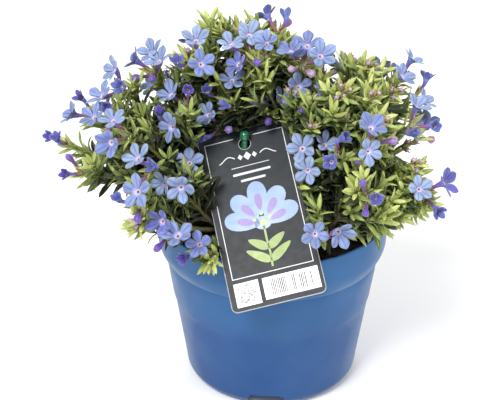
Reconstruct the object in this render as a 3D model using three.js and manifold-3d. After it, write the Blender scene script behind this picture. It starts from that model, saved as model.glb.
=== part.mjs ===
// A lithodora in full flower in a round blue trade pot, with its plant label on a green peg.
// Millimetres, +Z up. The origin is the middle of the pot's underside, and the label faces -Y.
// The plant is 14 leafy stems that stand in holes in the soil. Each one forks into shoots, and
// most shoots end in a spray of flowers and buds, which is a piece of its own.
import * as THREE from 'three';
import { mergeVertices } from 'three/addons/utils/BufferGeometryUtils.js';
import Module from 'manifold-3d';

const wasm = await Module();
wasm.setup();

// Driving dimensions
const GAP = 0.3; // clearance between neighbouring pieces

const POT = {
  sides: 36,
  height: 93,
  rimRadius: 60,
  wall: 1.5,
  lip: 0.8, // rounding of the rim
  collarRadius: 59.8, // foot of the upright collar
  collarFoot: 76.5,
  creaseRadius: 55.9, // top of the tapered body
  creaseHeight: 70.2,
  shoulderHeight: 47, // stacking shoulder
  shoulderStep: 0.5,
  footRadius: 45.6, // the taper carried down to the ground
  cornerRadius: 7.4,
  floor: 5,
};

const CHANNEL = {
  count: 4,
  turn: -3.6, // degrees from -Y to the first
  width: 26,
  topWidth: 15,
  height: 3,
  inner: 14,
  holeRadius: 4,
  holeAt: 30,
};
const NOTCH = { height: 2.8, inner: 36, mouth: 9.1 }; // the channel's end, whose roof rises outwards

const SOIL = { sides: 18, level: 85, bump: 0.8, rings: 2, holeSides: 6 };

const LABEL = {
  hole: new THREE.Vector3(-14, -14.8, 136.5), // middle of the round hole, where the peg passes
  width: 46,
  above: 8.4, // from the hole to the top edge
  below: 83.5,
  corner: 3,
  thickness: 0.7,
  holeRadius: 2.9,
  lean: 45, // degrees up from the horizontal at which the face looks
  turn: -11.2, // degrees from straight ahead, towards +X
  roll: 20.6, // degrees by which the label hangs askew in its own plane
};

const PEG = {
  sides: 8,
  radius: 1.5,
  headRadius: 2.4,
  neckTop: 2.2, // heights above the middle of the label's hole
  headFoot: 3.2,
  headTop: 5.4,
  dome: 7,
  depth: 44, // in the soil
  point: 7,
};

const CROWN = new THREE.Vector3(0, 0, 88); // where the shoots' directions start
const TRUNK = { sides: 5, footRadius: 2, forkRadius: 1.6, depth: 9, rise: 9, reach: 36, forkFrom: 0.7 };
const SHOOT = { radius: 1.3, tipRadius: 0.9 };
const LEAF = {
  ringLength: 1.3, // of the short stretch of shoot that three leaves grow from
  step: 9.5, // from one stretch to the next
  leafy: 46, // length of the leafy end of a shoot
  length: 16.5,
  tipLength: 11,
  vary: 0.16, // share by which a leaf's length and splay differ from the rule
  halfWidth: 1.8,
  depth: 0.95, // of the keel under the blade
  splay: 58, // degrees from the shoot
  tipSplay: 40,
  droop: 2.2,
};
const FLOWER = {
  stalk: 12, // from the spray's hub to the face of the flower
  throatRadius: 1.5,
  throatDepth: 2.5,
  eyeDepth: 1,
  notch: 2.9, // radii from the middle of the flower
  shoulder: 7.2,
  shoulderTurn: 21, // degrees to each side of a lobe's middle
  lobes: 5,
};
const BUD = { stalk: 7, length: 6.5, radius: 1.9 };
const HUB = { radius: 1.4, height: 2.2, sides: 3, flare: 1.15 };
const FACE = { lean: 0.75, lift: 0.15 }; // how far flowers turn to the light in front or behind
const SPRAY = {
  spread: [0, 0, 6.6, 8, 9], // of the flowers from the spray's middle, by their number
  steps: [0, -2.8, -1.4, -4], // the stalks' lengths differ, so that the flowers overlap freely
  faceTilt: 14, // degrees by which a flower's face turns outwards
  budTilt: 44,
};

// The stems. Each has the bearing and radius of its foot, and then its shoots. A shoot has its bearing,
// its rise above the horizontal and its reach from the crown, its open flowers and its buds, and:
// roll, the bearing of its first flower round the shoot; look, how far its flowers turn towards +X
// and up; and bend, how far it swings out sideways and upwards on its way. Bearings run from +X to +Y.
const STEMS = [
  {
    foot: [176, 33],
    shoots: [
      { to: [180, 20, 121], open: 2, buds: 0, roll: 40 },
      { to: [-161, 21, 113], open: 1, buds: 1 },
      { to: [160, 24, 106], open: 2, buds: 0, roll: 90 },
    ],
  },
  {
    foot: [-172, 24],
    shoots: [
      { to: [177, 30, 116], open: 2, buds: 0, roll: 90 },
      { to: [-158, 38, 113], open: 2, buds: 1, roll: 60 },
      { to: [-169, 45, 114], open: 3, buds: 0 },
    ],
  },
  {
    foot: [-178, 14],
    shoots: [
      { to: [-174, 54, 108], open: 3, buds: 2, roll: 30 },
      { to: [-158, 66, 105], open: 3, buds: 0, roll: 90, bend: [0, 4] },
      { to: [165, 73, 117], open: 0, buds: 0 },
    ],
  },
  {
    foot: [-146, 30],
    shoots: [
      { to: [-148, 38, 110], open: 2, buds: 0, roll: 120, bend: [-2, 3] },
      { to: [-139, 33, 97], open: 2, buds: 1, roll: 20, bend: [-7, 4] },
      { to: [-134, 24, 104], open: 2, buds: 1, roll: 60 },
      { to: [-152, 27, 84], open: 0, buds: 0 },
    ],
  },
  {
    foot: [-122, 33],
    shoots: [
      { to: [-132, 29, 83], open: 2, buds: 0, roll: 30 },
      { to: [-125, 17, 91], open: 2, buds: 1 },
      { to: [-134, 17, 99], open: 0, buds: 1 },
      { to: [-118, 10, 77], open: 2, buds: 0, roll: 80 },
      { to: [-140, 38, 64], open: 2, buds: 0, roll: 110, look: [0.5, 0] },
      { to: [-100, 14, 52], open: 0, buds: 0 },
    ],
  },
  {
    foot: [-140, 17],
    shoots: [
      { to: [-154, 46, 88], open: 2, buds: 1, bend: [-4, 0] },
      { to: [-160, 56, 89], open: 2, buds: 1, roll: 45, bend: [-3, -2] },
      { to: [-150, 69, 82], open: 3, buds: 0, roll: 60 },
      { to: [-149, 59, 69], open: 2, buds: 1, roll: 120, look: [0, -0.5] },
    ],
  },
  {
    foot: [110, 6],
    shoots: [
      { to: [-130, 79, 101], open: 4, buds: 1, roll: 20, bend: [0, 4] },
      { to: [70, 86, 110], open: 2, buds: 1, bend: [-3, -2] },
      { to: [144, 78, 108], open: 0, buds: 2 },
      { to: [-95, 80, 70], open: 2, buds: 1, roll: 20 },
    ],
  },
  {
    foot: [-20, 12],
    shoots: [
      { to: [-52, 76, 99], open: 3, buds: 2, bend: [2, 1] },
      { to: [-50, 71, 82], open: 2, buds: 1 },
      { to: [-51, 59, 105], open: 0, buds: 3 },
      { to: [-38, 54, 105], open: 0, buds: 2 },
      { to: [127, 81, 112], open: 0, buds: 0 },
    ],
  },
  {
    foot: [-52, 27],
    shoots: [
      { to: [-51, 43, 104], open: 2, buds: 1, roll: 110 },
      { to: [-60, 44, 90], open: 2, buds: 1, roll: 90, bend: [4, 0] },
      { to: [-64, 49, 72], open: 3, buds: 1, roll: 50 },
      { to: [-42, 48, 104], open: 0, buds: 2 },
    ],
  },
  {
    foot: [-60, 36],
    shoots: [
      { to: [-58, 29, 100], open: 1, buds: 2 },
      { to: [-70, 18, 80], open: 2, buds: 0, roll: 30 },
      { to: [-44, 16, 74], open: 0, buds: 0 },
      { to: [-36, 33, 102], open: 0, buds: 1 },
    ],
  },
  {
    foot: [-18, 28],
    shoots: [
      { to: [-33, 23, 100], open: 3, buds: 0, roll: 30 },
      { to: [-20, 41, 101], open: 3, buds: 0, roll: 90 },
      { to: [-4, 33, 86], open: 0, buds: 1 },
      { to: [-23, 52, 105], open: 0, buds: 2 },
    ],
  },
  {
    foot: [8, 17],
    shoots: [
      { to: [8, 40, 106], open: 2, buds: 0, roll: 90 },
      { to: [11, 47, 106], open: 2, buds: 0, roll: 60 },
      { to: [-9, 61, 103], open: 0, buds: 2 },
      { to: [22, 24, 98], open: 2, buds: 1 },
    ],
  },
  {
    foot: [120, 27],
    shoots: [
      { to: [134, 30, 101], open: 3, buds: 1 },
      { to: [126, 52, 102], open: 3, buds: 0 },
      { to: [98, 40, 98], open: 3, buds: 1 },
      { to: [112, 20, 92], open: 2, buds: 0 },
      { to: [80, 58, 96], open: 0, buds: 2 },
      { to: [150, 14, 84], open: 0, buds: 0 },
    ],
  },
  {
    foot: [52, 27],
    shoots: [
      { to: [76, 20, 93], open: 2, buds: 1 },
      { to: [46, 28, 98], open: 3, buds: 0 },
      { to: [60, 50, 89], open: 3, buds: 1 },
      { to: [34, 44, 98], open: 3, buds: 1 },
      { to: [92, 68, 94], open: 0, buds: 2 },
      { to: [24, 62, 97], open: 0, buds: 1 },
    ],
  },
];

const POT_COLOUR = 0x4a7db4;
const SOIL_COLOUR = 0x2b211a;
const LABEL_COLOUR = 0x4d5154;
const PEG_COLOUR = 0x1f6b45;
const LEAF_COLOUR = 0x5c7a34;
const PETAL_COLOUR = 0x6f95dd;

// Small helpers
const radians = (degrees) => (degrees * Math.PI) / 180;
const UP = new THREE.Vector3(0, 0, 1);

function direction(bearing, rise) {
  const flat = Math.cos(radians(rise));
  return new THREE.Vector3(
    Math.cos(radians(bearing)) * flat,
    Math.sin(radians(bearing)) * flat,
    Math.sin(radians(rise)),
  );
}

// Adds together point + a * length + b * length ...
function along(point, ...steps) {
  const sum = point.clone();
  for (let i = 0; i < steps.length; i += 2) sum.addScaledVector(steps[i], steps[i + 1]);
  return sum;
}

// Two directions square to the axis: the first is level, and the second points upwards.
function squareTo(axis) {
  const level = new THREE.Vector3().crossVectors(UP, axis);
  if (level.lengthSq() < 1e-6) level.set(1, 0, 0);
  level.normalize();
  return [level, new THREE.Vector3().crossVectors(axis, level)];
}

// The first direction turned towards the second, which is square to it
function between(first, second, degrees) {
  const angle = radians(degrees);
  return along(new THREE.Vector3(), first, Math.cos(angle), second, Math.sin(angle));
}

const turned = (frame, degrees) => between(frame[0], frame[1], degrees);

// Turns a closed geometry into a solid that can be joined and cut.
function solid(geometry) {
  const bare = geometry.clone();
  bare.deleteAttribute('normal');
  bare.deleteAttribute('uv');
  const merged = mergeVertices(bare, 1e-4);
  const corners = merged.index.array;
  const triangles = [];
  for (let i = 0; i < corners.length; i += 3) {
    const [a, b, c] = [corners[i], corners[i + 1], corners[i + 2]];
    if (a !== b && b !== c && c !== a) triangles.push(a, b, c);
  }
  return new wasm.Manifold(new wasm.Mesh({
    numProp: 3,
    vertProperties: new Float32Array(merged.attributes.position.array),
    triVerts: new Uint32Array(triangles),
  }));
}

// A closed body, put together from points and from triangles of their numbers. Something can grow
// from one of its four-cornered sides: its own points start with those four corners.
class Body {
  constructor(points) {
    this.points = points;
    this.faces = [];
  }

  close([a, b, c, d]) {
    this.faces.push([a, b, c], [a, c, d]);
  }

  grow(quad, { points, faces }) {
    const numbers = points.map((point, i) => (i < 4 ? quad[i] : this.points.length + i - 4));
    this.points.push(...points.slice(4));
    faces.forEach((face) => this.faces.push(face.map((corner) => numbers[corner])));
  }

  solid() {
    const geometry = new THREE.BufferGeometry();
    geometry.setFromPoints(this.points);
    geometry.setIndex(this.faces.flat());
    return solid(geometry);
  }
}

// What grows from a side, closed at its root, as a solid of its own for the crossing test
function closed({ points, faces }) {
  const shape = new Body(points);
  shape.faces = [...faces, ...ROOT_FACES];
  return shape.solid();
}

const middleOf = (points) => points.reduce((sum, point) => sum.add(point), new THREE.Vector3())
  .divideScalar(points.length);

const numbered = (name, index) => `${name}_${String(index + 1).padStart(2, '0')}`;

// A seeded random share either side of one
let seed = 20117;
function differ() {
  seed = (seed * 16807) % 2147483647;
  return 1 + LEAF.vary * ((2 * seed) / 2147483647 - 1);
}

const join = (solids) => solids.reduce((sum, next) => sum.add(next));

// Fills the small closed pockets that are left where shoots cross.
const filled = (shape) => join(shape.decompose().filter((part) => part.volume() > 0));

function mesh(name, shape, colour, roughness) {
  const result = shape.getMesh();
  const geometry = new THREE.BufferGeometry();
  geometry.setAttribute('position', new THREE.BufferAttribute(result.vertProperties, 3));
  geometry.setIndex(new THREE.BufferAttribute(result.triVerts, 1));
  const material = new THREE.MeshStandardMaterial({ color: colour, roughness, metalness: 0 });
  const piece = new THREE.Mesh(geometry, material);
  piece.name = name;
  return piece;
}

// A solid of revolution about Z from [radius, height] pairs that start and end on the axis.
function revolve(outline, sides) {
  const points = outline.map(([radius, height]) => new THREE.Vector2(radius, height));
  return solid(new THREE.LatheGeometry(points, sides).rotateX(Math.PI / 2));
}

// A closed body through rings of points. Every ring has the same number of points, counter-clockwise
// as seen from the far end.
function loft(rings) {
  const sides = rings[0].length;
  const shape = new Body(rings.flat());
  for (let here = 0; here + sides < shape.points.length; here += sides) {
    for (let j = 0; j < sides; j += 1) {
      const k = (j + 1) % sides;
      shape.close([here + j, here + k, here + sides + k, here + sides + j]);
    }
  }
  const last = (rings.length - 1) * sides;
  for (let j = 1; j + 1 < sides; j += 1) shape.faces.push([0, j + 1, j], [last, last + j, last + j + 1]);
  return shape.solid();
}

function ring(centre, frame, radius, sides, turn = 0) {
  const points = [];
  for (let j = 0; j < sides; j += 1) {
    points.push(along(centre, turned(frame, turn + (360 * j) / sides), radius));
  }
  return points;
}

// Pot
const taperRadius = (height) => POT.footRadius
  + ((POT.creaseRadius - POT.footRadius) * height) / POT.creaseHeight;

function potOutside() {
  const outline = [[0, 0]];
  const centre = taperRadius(POT.cornerRadius) - POT.shoulderStep - POT.cornerRadius;
  for (const turn of [-90, -48, -6]) {
    outline.push([
      centre + POT.cornerRadius * Math.cos(radians(turn)),
      POT.cornerRadius + POT.cornerRadius * Math.sin(radians(turn)),
    ]);
  }
  outline.push(
    [taperRadius(POT.shoulderHeight) - POT.shoulderStep, POT.shoulderHeight],
    [taperRadius(POT.shoulderHeight), POT.shoulderHeight + POT.shoulderStep],
    [POT.creaseRadius, POT.creaseHeight],
    [POT.collarRadius, POT.collarFoot],
    [POT.rimRadius, POT.height - POT.lip],
    [POT.rimRadius - POT.lip / 2, POT.height],
  );
  return outline;
}

// The inside of the wall, from the rim down, moved inwards by a gap.
function potInside(gap, top) {
  const inset = POT.wall + gap;
  return [
    [POT.rimRadius - inset - 0.2, top],
    [POT.collarRadius - inset - 0.2, POT.collarFoot + 0.6],
    [POT.creaseRadius - inset, POT.creaseHeight + 0.6],
    [taperRadius(POT.cornerRadius) - POT.shoulderStep - inset, POT.cornerRadius + POT.floor],
    [taperRadius(0) - POT.cornerRadius - inset, POT.floor + gap],
    [0, POT.floor + gap],
  ];
}

// A slot under the pot, from a radius out through the wall. Its roof may rise to a higher mouth.
function slotUnder(height, inner, mouth = height) {
  const outline = new THREE.Shape();
  outline.moveTo(-CHANNEL.width / 2, -1);
  outline.lineTo(CHANNEL.width / 2, -1);
  outline.lineTo(CHANNEL.width / 2 - 1, 0.6);
  outline.lineTo(CHANNEL.topWidth / 2, height);
  outline.lineTo(-CHANNEL.topWidth / 2, height);
  outline.lineTo(-CHANNEL.width / 2 + 1, 0.6);
  outline.closePath();
  const slot = new THREE.ExtrudeGeometry(outline, { depth: POT.footRadius + 4 - inner, bevelEnabled: false });
  slot.rotateX(Math.PI / 2).translate(0, -inner, 0);
  const place = slot.attributes.position;
  for (let i = 0; i < place.count; i += 1) {
    if (place.getZ(i) > height - 0.01 && place.getY(i) < -inner - 1) place.setZ(i, mouth);
  }
  return slot;
}

function channelCutter(index) {
  const channel = slotUnder(CHANNEL.height, CHANNEL.inner);
  const notch = slotUnder(NOTCH.height, NOTCH.inner, NOTCH.mouth);
  const hole = new THREE.CylinderGeometry(CHANNEL.holeRadius, CHANNEL.holeRadius, 4 * POT.floor, 12);
  hole.rotateX(Math.PI / 2).translate(0, -CHANNEL.holeAt, 0);
  const turn = radians(CHANNEL.turn + (360 * index) / CHANNEL.count);
  return join([channel, notch, hole].map((shape) => solid(shape.rotateZ(turn))));
}

function makePot() {
  let shape = revolve([...potOutside(), ...potInside(0, POT.height)], POT.sides);
  for (let index = 0; index < CHANNEL.count; index += 1) shape = shape.subtract(channelCutter(index));
  return shape;
}

// Soil, with a lumpy top and a plain hole for each thing that stands in it
const soilBump = (x, y) => SOIL.bump
  * (Math.sin(x * 0.21 + 1) * Math.cos(y * 0.17) + 0.6 * Math.sin(0.11 * x - 0.3 * y));

function makeSoil(holes) {
  const wallSide = potInside(GAP, SOIL.level).reverse();
  const top = [];
  for (let i = SOIL.rings - 1; i >= 0; i -= 1) {
    top.push([(wallSide.at(-1)[0] * i) / SOIL.rings, SOIL.level]);
  }
  const points = [...wallSide, ...top].map(([radius, height]) => new THREE.Vector2(radius, height));
  const geometry = new THREE.LatheGeometry(points, SOIL.sides).rotateX(Math.PI / 2);
  const place = geometry.attributes.position;
  for (let i = 0; i < place.count; i += 1) {
    if (place.getZ(i) > SOIL.level - 0.01) {
      place.setZ(i, SOIL.level + soilBump(place.getX(i), place.getY(i)));
    }
  }
  return holes.reduce((shape, hole) => shape.subtract(hole), solid(geometry));
}

function standingHole(centre, radius, depth) {
  const height = depth + 20;
  const shape = new THREE.CylinderGeometry(radius, radius, height, SOIL.holeSides).rotateX(Math.PI / 2);
  return solid(shape.translate(centre.x, centre.y, SOIL.level - depth + height / 2));
}

// Label and peg
function labelFrame() {
  const [turn, lean] = [LABEL.turn, LABEL.lean].map(radians);
  const face = new THREE.Vector3(
    Math.sin(turn) * Math.cos(lean),
    -Math.cos(turn) * Math.cos(lean),
    Math.sin(lean),
  );
  const level = new THREE.Vector3(Math.cos(turn), Math.sin(turn), 0);
  const rising = new THREE.Vector3().crossVectors(face, level);
  const right = between(level, rising, LABEL.roll);
  const up = new THREE.Vector3().crossVectors(face, right);
  return new THREE.Matrix4().makeBasis(right, up, face).setPosition(LABEL.hole);
}

function makeLabel() {
  const [side, top, bottom, corner] = [LABEL.width / 2, LABEL.above, -LABEL.below, LABEL.corner];
  const outline = new THREE.Shape();
  outline.absarc(side - corner, bottom + corner, corner, -Math.PI / 2, 0);
  outline.absarc(side - corner, top - corner, corner, 0, Math.PI / 2);
  outline.absarc(corner - side, top - corner, corner, Math.PI / 2, Math.PI);
  outline.absarc(corner - side, bottom + corner, corner, Math.PI, 1.5 * Math.PI);
  outline.holes.push(new THREE.Path().absarc(0, 0, LABEL.holeRadius, 0, 2 * Math.PI, true));
  const plate = new THREE.ExtrudeGeometry(outline, {
    depth: LABEL.thickness,
    bevelEnabled: false,
    curveSegments: 4,
  });
  return solid(plate.translate(0, 0, -LABEL.thickness / 2).applyMatrix4(labelFrame()));
}

function makePeg() {
  const foot = SOIL.level - PEG.depth;
  const above = (height) => LABEL.hole.z + height;
  const shape = revolve([
    [0, foot],
    [PEG.radius, foot + PEG.point],
    [PEG.radius, above(PEG.neckTop)],
    [PEG.headRadius, above(PEG.headFoot)],
    [PEG.headRadius, above(PEG.headTop)],
    [PEG.headRadius * 0.7, above(PEG.headTop + (PEG.dome - PEG.headTop) * 0.7)],
    [0, above(PEG.dome)],
  ], PEG.sides);
  return shape.translate([LABEL.hole.x, LABEL.hole.y, 0]);
}

// A spray is one body: a short hub on the end of its shoot, and on the hub's sides its flowers and buds.
// Each of them starts from the four corners of its side.
const ROOT_FACES = [[0, 2, 1], [0, 3, 2]];

// Four points round an axis, in step with the four corners of the root
function ringInStep(centre, axis, radius, corners) {
  const frame = squareTo(axis);
  const start = corners[0].clone().sub(corners[2]);
  const turn = THREE.MathUtils.radToDeg(Math.atan2(start.dot(frame[1]), start.dot(frame[0])));
  return ring(centre, frame, radius, 4, turn);
}

function sidesOf(near, far) {
  const faces = [];
  for (let j = 0; j < 4; j += 1) {
    const k = (j + 1) % 4;
    faces.push([near + j, near + k, far + k], [near + j, far + k, far + j]);
  }
  return faces;
}

// A stalk and tube, and five blunt lobes spread flat round a sunken eye
function flower(corners, face, axis) {
  const frame = squareTo(axis);
  const throat = ringInStep(along(face, axis, -FLOWER.throatDepth), axis, FLOWER.throatRadius, corners);
  const first = throat[0].clone().sub(face);
  const spin = THREE.MathUtils.radToDeg(Math.atan2(first.dot(frame[1]), first.dot(frame[0])));
  const step = 360 / FLOWER.lobes;
  const rim = [];
  for (let j = 0; j < FLOWER.lobes; j += 1) {
    const middle = step * (j + 0.5) + spin;
    rim.push(along(face, turned(frame, step * j + spin), FLOWER.notch));
    rim.push(along(face, turned(frame, middle - FLOWER.shoulderTurn), FLOWER.shoulder));
    rim.push(along(face, turned(frame, middle + FLOWER.shoulderTurn), FLOWER.shoulder));
  }
  const [tube, edge, eye] = [4, 8, 8 + rim.length];
  const nearest = (i) => tube + Math.floor(((i % rim.length) * 4) / rim.length);
  const faces = sidesOf(0, tube);
  for (let i = 0; i < rim.length; i += 1) {
    const next = edge + ((i + 1) % rim.length);
    faces.push([nearest(i), next, edge + i], [eye, edge + i, next]);
    if (nearest(i + 1) !== nearest(i)) faces.push([nearest(i), nearest(i + 1), next]);
  }
  return { points: [...corners, ...throat, ...rim, along(face, axis, -FLOWER.eyeDepth)], faces };
}

function bud(corners, axis) {
  const root = middleOf(corners);
  const swell = ringInStep(along(root, axis, BUD.stalk + BUD.length * 0.5), axis, BUD.radius, corners);
  const faces = sidesOf(0, 4);
  for (let j = 0; j < 4; j += 1) faces.push([4 + j, 4 + ((j + 1) % 4), 8]);
  return { points: [...corners, ...swell, along(root, axis, BUD.stalk + BUD.length)], faces };
}

function makeSpray(tip, facing, open, buds, roll) {
  const frame = squareTo(facing);
  const sides = Math.max(open + buds, HUB.sides);
  const turn = roll - 180 / sides;
  const radius = HUB.radius + 0.25 * (sides - HUB.sides);
  const foot = along(tip, facing, GAP);
  const top = along(foot, facing, HUB.height);
  const shape = new Body([
    ...ring(foot, frame, radius, sides, turn),
    ...ring(top, frame, radius * HUB.flare, sides, turn),
  ]);
  for (let j = 0; j < sides; j += 1) {
    const k = (j + 1) % sides;
    const quad = [j, k, sides + k, sides + j];
    const corners = quad.map((corner) => shape.points[corner]);
    const outwards = turned(frame, roll + (360 * j) / sides);
    if (j < open) {
      const face = along(foot, facing, FLOWER.stalk + SPRAY.steps[j], outwards, SPRAY.spread[open]);
      const axis = between(facing, outwards, open > 1 ? SPRAY.faceTilt : 0);
      shape.grow(quad, flower(corners, face, axis));
    } else if (j < open + buds) {
      shape.grow(quad, bud(corners, between(facing, outwards, SPRAY.budTilt)));
    } else {
      shape.close(quad);
    }
  }
  for (let j = 1; j + 1 < sides; j += 1) {
    shape.faces.push([0, j + 1, j], [sides, sides + j, sides + j + 1]);
  }
  return shape.solid();
}

// Leaves: a narrow arched blade with a keel. Its root is one side of a short stretch of its shoot.
const LEAF_FACES = [
  [0, 1, 4], [1, 5, 4], [1, 2, 5], [2, 6, 5], [2, 3, 6],
  [3, 0, 6], [0, 4, 6], [4, 5, 7], [5, 6, 7], [6, 4, 7],
];
// The root's four corners, then the blade's keel, right and left edges, and its tip
function leafPoints(corners, stemAxis, splay, length) {
  const root = middleOf(corners);
  const right = corners[1].clone().sub(corners[0]).normalize();
  const outwards = new THREE.Vector3().crossVectors(right, stemAxis).normalize();
  const axis = between(stemAxis, outwards, splay);
  const under = new THREE.Vector3().crossVectors(right, axis);
  const middle = along(root, axis, length * 0.5, UP, -LEAF.droop * 0.25);
  return [
    ...corners,
    along(middle, under, LEAF.depth),
    along(middle, right, LEAF.halfWidth),
    along(middle, right, -LEAF.halfWidth),
    along(root, axis, length, UP, -LEAF.droop),
  ];
}

// A shoot is one body with its leaves: a three-sided tube with short stretches that the leaves grow from.
// Its rings are these: the second of each pair from the third ring on closes a leafy stretch.
function shootRings(curve) {
  const length = curve.getLength();
  const count = Math.floor(Math.min(length * 0.8, LEAF.leafy) / LEAF.step);
  const shares = [0, 0.5 * (1 - (count * LEAF.step) / length)];
  for (let i = count - 1; i >= 0; i -= 1) {
    const end = 1 - (1 + i * LEAF.step) / length;
    shares.push(end - LEAF.ringLength / length, end);
  }
  shares.push(1);
  return shares.map((share, i) => {
    const radius = THREE.MathUtils.lerp(SHOOT.radius, SHOOT.tipRadius, share);
    const turn = 30 * Math.floor(i / 2);
    return ring(curve.getPointAt(share), squareTo(curve.getTangentAt(share)), radius, 3, turn);
  });
}

function makeShoot(rings, buds, stem) {
  const shape = new Body(rings.flat());
  for (let i = 0; i + 1 < rings.length; i += 1) {
    const leafy = i >= 2 && i % 2 === 0 && i + 2 < rings.length;
    const young = Math.max(0, 1 - (rings.length - 3 - i) / 5);
    for (let j = 0; j < 3; j += 1) {
      const k = (j + 1) % 3;
      const quad = [3 * i + j, 3 * i + k, 3 * i + 3 + k, 3 * i + 3 + j];
      const corners = quad.map((corner) => shape.points[corner]);
      const leafOrNone = leafy ? growLeaf(corners, young, stem) : null;
      if (leafOrNone) shape.grow(quad, leafOrNone);
      else if (i === rings.length - 2 && j < buds) shape.grow(quad, growBud(corners, stem));
      else shape.close(quad);
    }
  }
  const last = 3 * (rings.length - 1);
  shape.faces.push([0, 2, 1], [last, last + 1, last + 2]);
  return shape.solid();
}

// The way a side of the shoot runs, and the way it faces
function sideDirections(corners) {
  const axis = corners[3].clone().add(corners[2]).sub(corners[0]).sub(corners[1]).normalize();
  const right = corners[1].clone().sub(corners[0]).normalize();
  return [axis, new THREE.Vector3().crossVectors(right, axis).normalize()];
}

// A bud on a shoot that has no open flowers
function growBud(corners, stem) {
  const [axis, outwards] = sideDirections(corners);
  const knob = bud(corners, between(axis, outwards, SPRAY.budTilt / 2));
  place(closed(knob), stem);
  return knob;
}

// A leaf, or nothing if the leaf would cross another leaf or another piece
function growLeaf(corners, young, stem) {
  const [axis] = sideDirections(corners);
  const splay = THREE.MathUtils.lerp(LEAF.splay, LEAF.tipSplay, young) * differ();
  const length = THREE.MathUtils.lerp(LEAF.length, LEAF.tipLength, young) * differ();
  const blade = { points: leafPoints(corners, axis, splay, length), faces: LEAF_FACES };
  const shape = closed(blade);
  if (crosses(shape, stem)) return null;
  place(shape);
  return blade;
}

// The plant: trunks and shoots first, then the sprays, then every leaf that crosses nothing
function shootTip(shoot) {
  const [bearing, rise, reach] = shoot.to;
  const outwards = direction(bearing, rise);
  const front = Math.sin(radians(bearing)) < 0.2 ? -1 : 1;
  const [sideways, upwards] = shoot.look ?? [0, 0];
  const light = new THREE.Vector3(sideways, front * FACE.lean, FACE.lift + upwards);
  const facing = along(outwards, light, 1).normalize();
  const held = shoot.open > 0 ? FLOWER.stalk : BUD.stalk;
  return { tip: along(CROWN, outwards, reach, facing, -held), facing, outwards };
}

// The trunk stands upright in its hole and then bends over towards its shoots.
function trunkCurve(stem) {
  const [bearing, radius] = stem.foot;
  const foot = direction(bearing, 0).multiplyScalar(radius);
  const mean = new THREE.Vector3();
  stem.shoots.forEach(({ to }) => mean.add(direction(to[0], to[1])));
  mean.normalize();
  return new THREE.QuadraticBezierCurve3(
    along(foot, UP, SOIL.level + 1),
    along(foot, UP, SOIL.level + TRUNK.rise, mean, TRUNK.rise / 2),
    along(CROWN, mean, TRUNK.reach, foot, 0.35),
  );
}

function makeTrunk(curve) {
  const foot = curve.getPoint(0);
  const rings = [ring(along(foot, UP, -1 - TRUNK.depth), squareTo(UP), TRUNK.footRadius, TRUNK.sides)];
  rings.push(ring(foot, squareTo(UP), TRUNK.footRadius, TRUNK.sides));
  [TRUNK.forkFrom / 2, TRUNK.forkFrom, 1].forEach((t) => {
    const radius = THREE.MathUtils.lerp(TRUNK.footRadius, TRUNK.forkRadius, t);
    rings.push(ring(curve.getPoint(t), squareTo(curve.getTangent(t)), radius, TRUNK.sides));
  });
  return loft(rings);
}

function shootCurve(trunk, share, end, bend) {
  const start = trunk.getPoint(TRUNK.forkFrom).lerp(trunk.getPoint(1), share);
  const span = start.distanceTo(end.tip);
  const [sideways, upwards] = squareTo(end.outwards);
  return new THREE.CubicBezierCurve3(
    start,
    along(start, end.outwards, span * 0.3, sideways, bend[0], upwards, bend[1]),
    along(end.tip, end.facing, -span * 0.28, sideways, bend[0], upwards, bend[1]),
    end.tip,
  );
}

const placed = []; // every piece and leaf so far, to test for crossings

const boxesMeet = (one, other) => [0, 1, 2]
  .every((i) => one.min[i] < other.max[i] && other.min[i] < one.max[i]);

// Whether the shape crosses anything placed that isn't wood of its own stem
function crosses(shape, stem) {
  const box = shape.boundingBox();
  return placed.some((other) => other.stem !== stem
    && boxesMeet(box, other.box)
    && shape.intersect(other.shape).volume() > 0);
}

function place(shape, stem = null) {
  placed.push({ shape, stem, box: shape.boundingBox() });
  return shape;
}

const group = new THREE.Group();
const pot = place(makePot());
const label = place(makeLabel());
const peg = place(makePeg());

const stems = STEMS.map((stem, index) => {
  const trunk = trunkCurve(stem);
  const shoots = stem.shoots.map((shoot, i) => {
    const end = shootTip(shoot);
    const curve = shootCurve(trunk, 1 - i / stem.shoots.length, end, shoot.bend ?? [0, 0]);
    const rings = shootRings(curve);
    place(loft(rings), index);
    return { ...end, rings, open: shoot.open, buds: shoot.buds, roll: shoot.roll ?? 0 };
  });
  return { solids: [place(makeTrunk(trunk), index)], shoots };
});

const sprays = [];
stems.forEach((stem) => {
  stem.shoots.filter(({ open }) => open > 0).forEach(({ tip, facing, open, buds, roll }) => {
    sprays.push(place(makeSpray(tip, facing, open, buds, roll)));
  });
});

stems.forEach(({ solids, shoots }, index) => {
  shoots.forEach(({ rings, open, buds }) => solids.push(makeShoot(rings, open > 0 ? 0 : buds, index)));
});

const holes = STEMS.map((stem) => {
  const [bearing, radius] = stem.foot;
  const centre = direction(bearing, 0).multiplyScalar(radius);
  return standingHole(centre, TRUNK.footRadius + 3 * GAP, TRUNK.depth + GAP);
});
holes.push(standingHole(LABEL.hole, PEG.radius + GAP, PEG.depth + GAP));

group.add(mesh('pot', pot, POT_COLOUR, 0.5));
group.add(mesh('soil', makeSoil(holes), SOIL_COLOUR, 0.95));
group.add(mesh('plant_label', label, LABEL_COLOUR, 0.35));
group.add(mesh('label_peg', peg, PEG_COLOUR, 0.4));
stems.forEach(({ solids }, i) => {
  group.add(mesh(numbered('leafy_stem', i), filled(join(solids)), LEAF_COLOUR, 0.7));
});
sprays.forEach((shape, i) => {
  group.add(mesh(numbered('bloom_spray', i), shape, PETAL_COLOUR, 0.6));
});

export default group;
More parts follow.
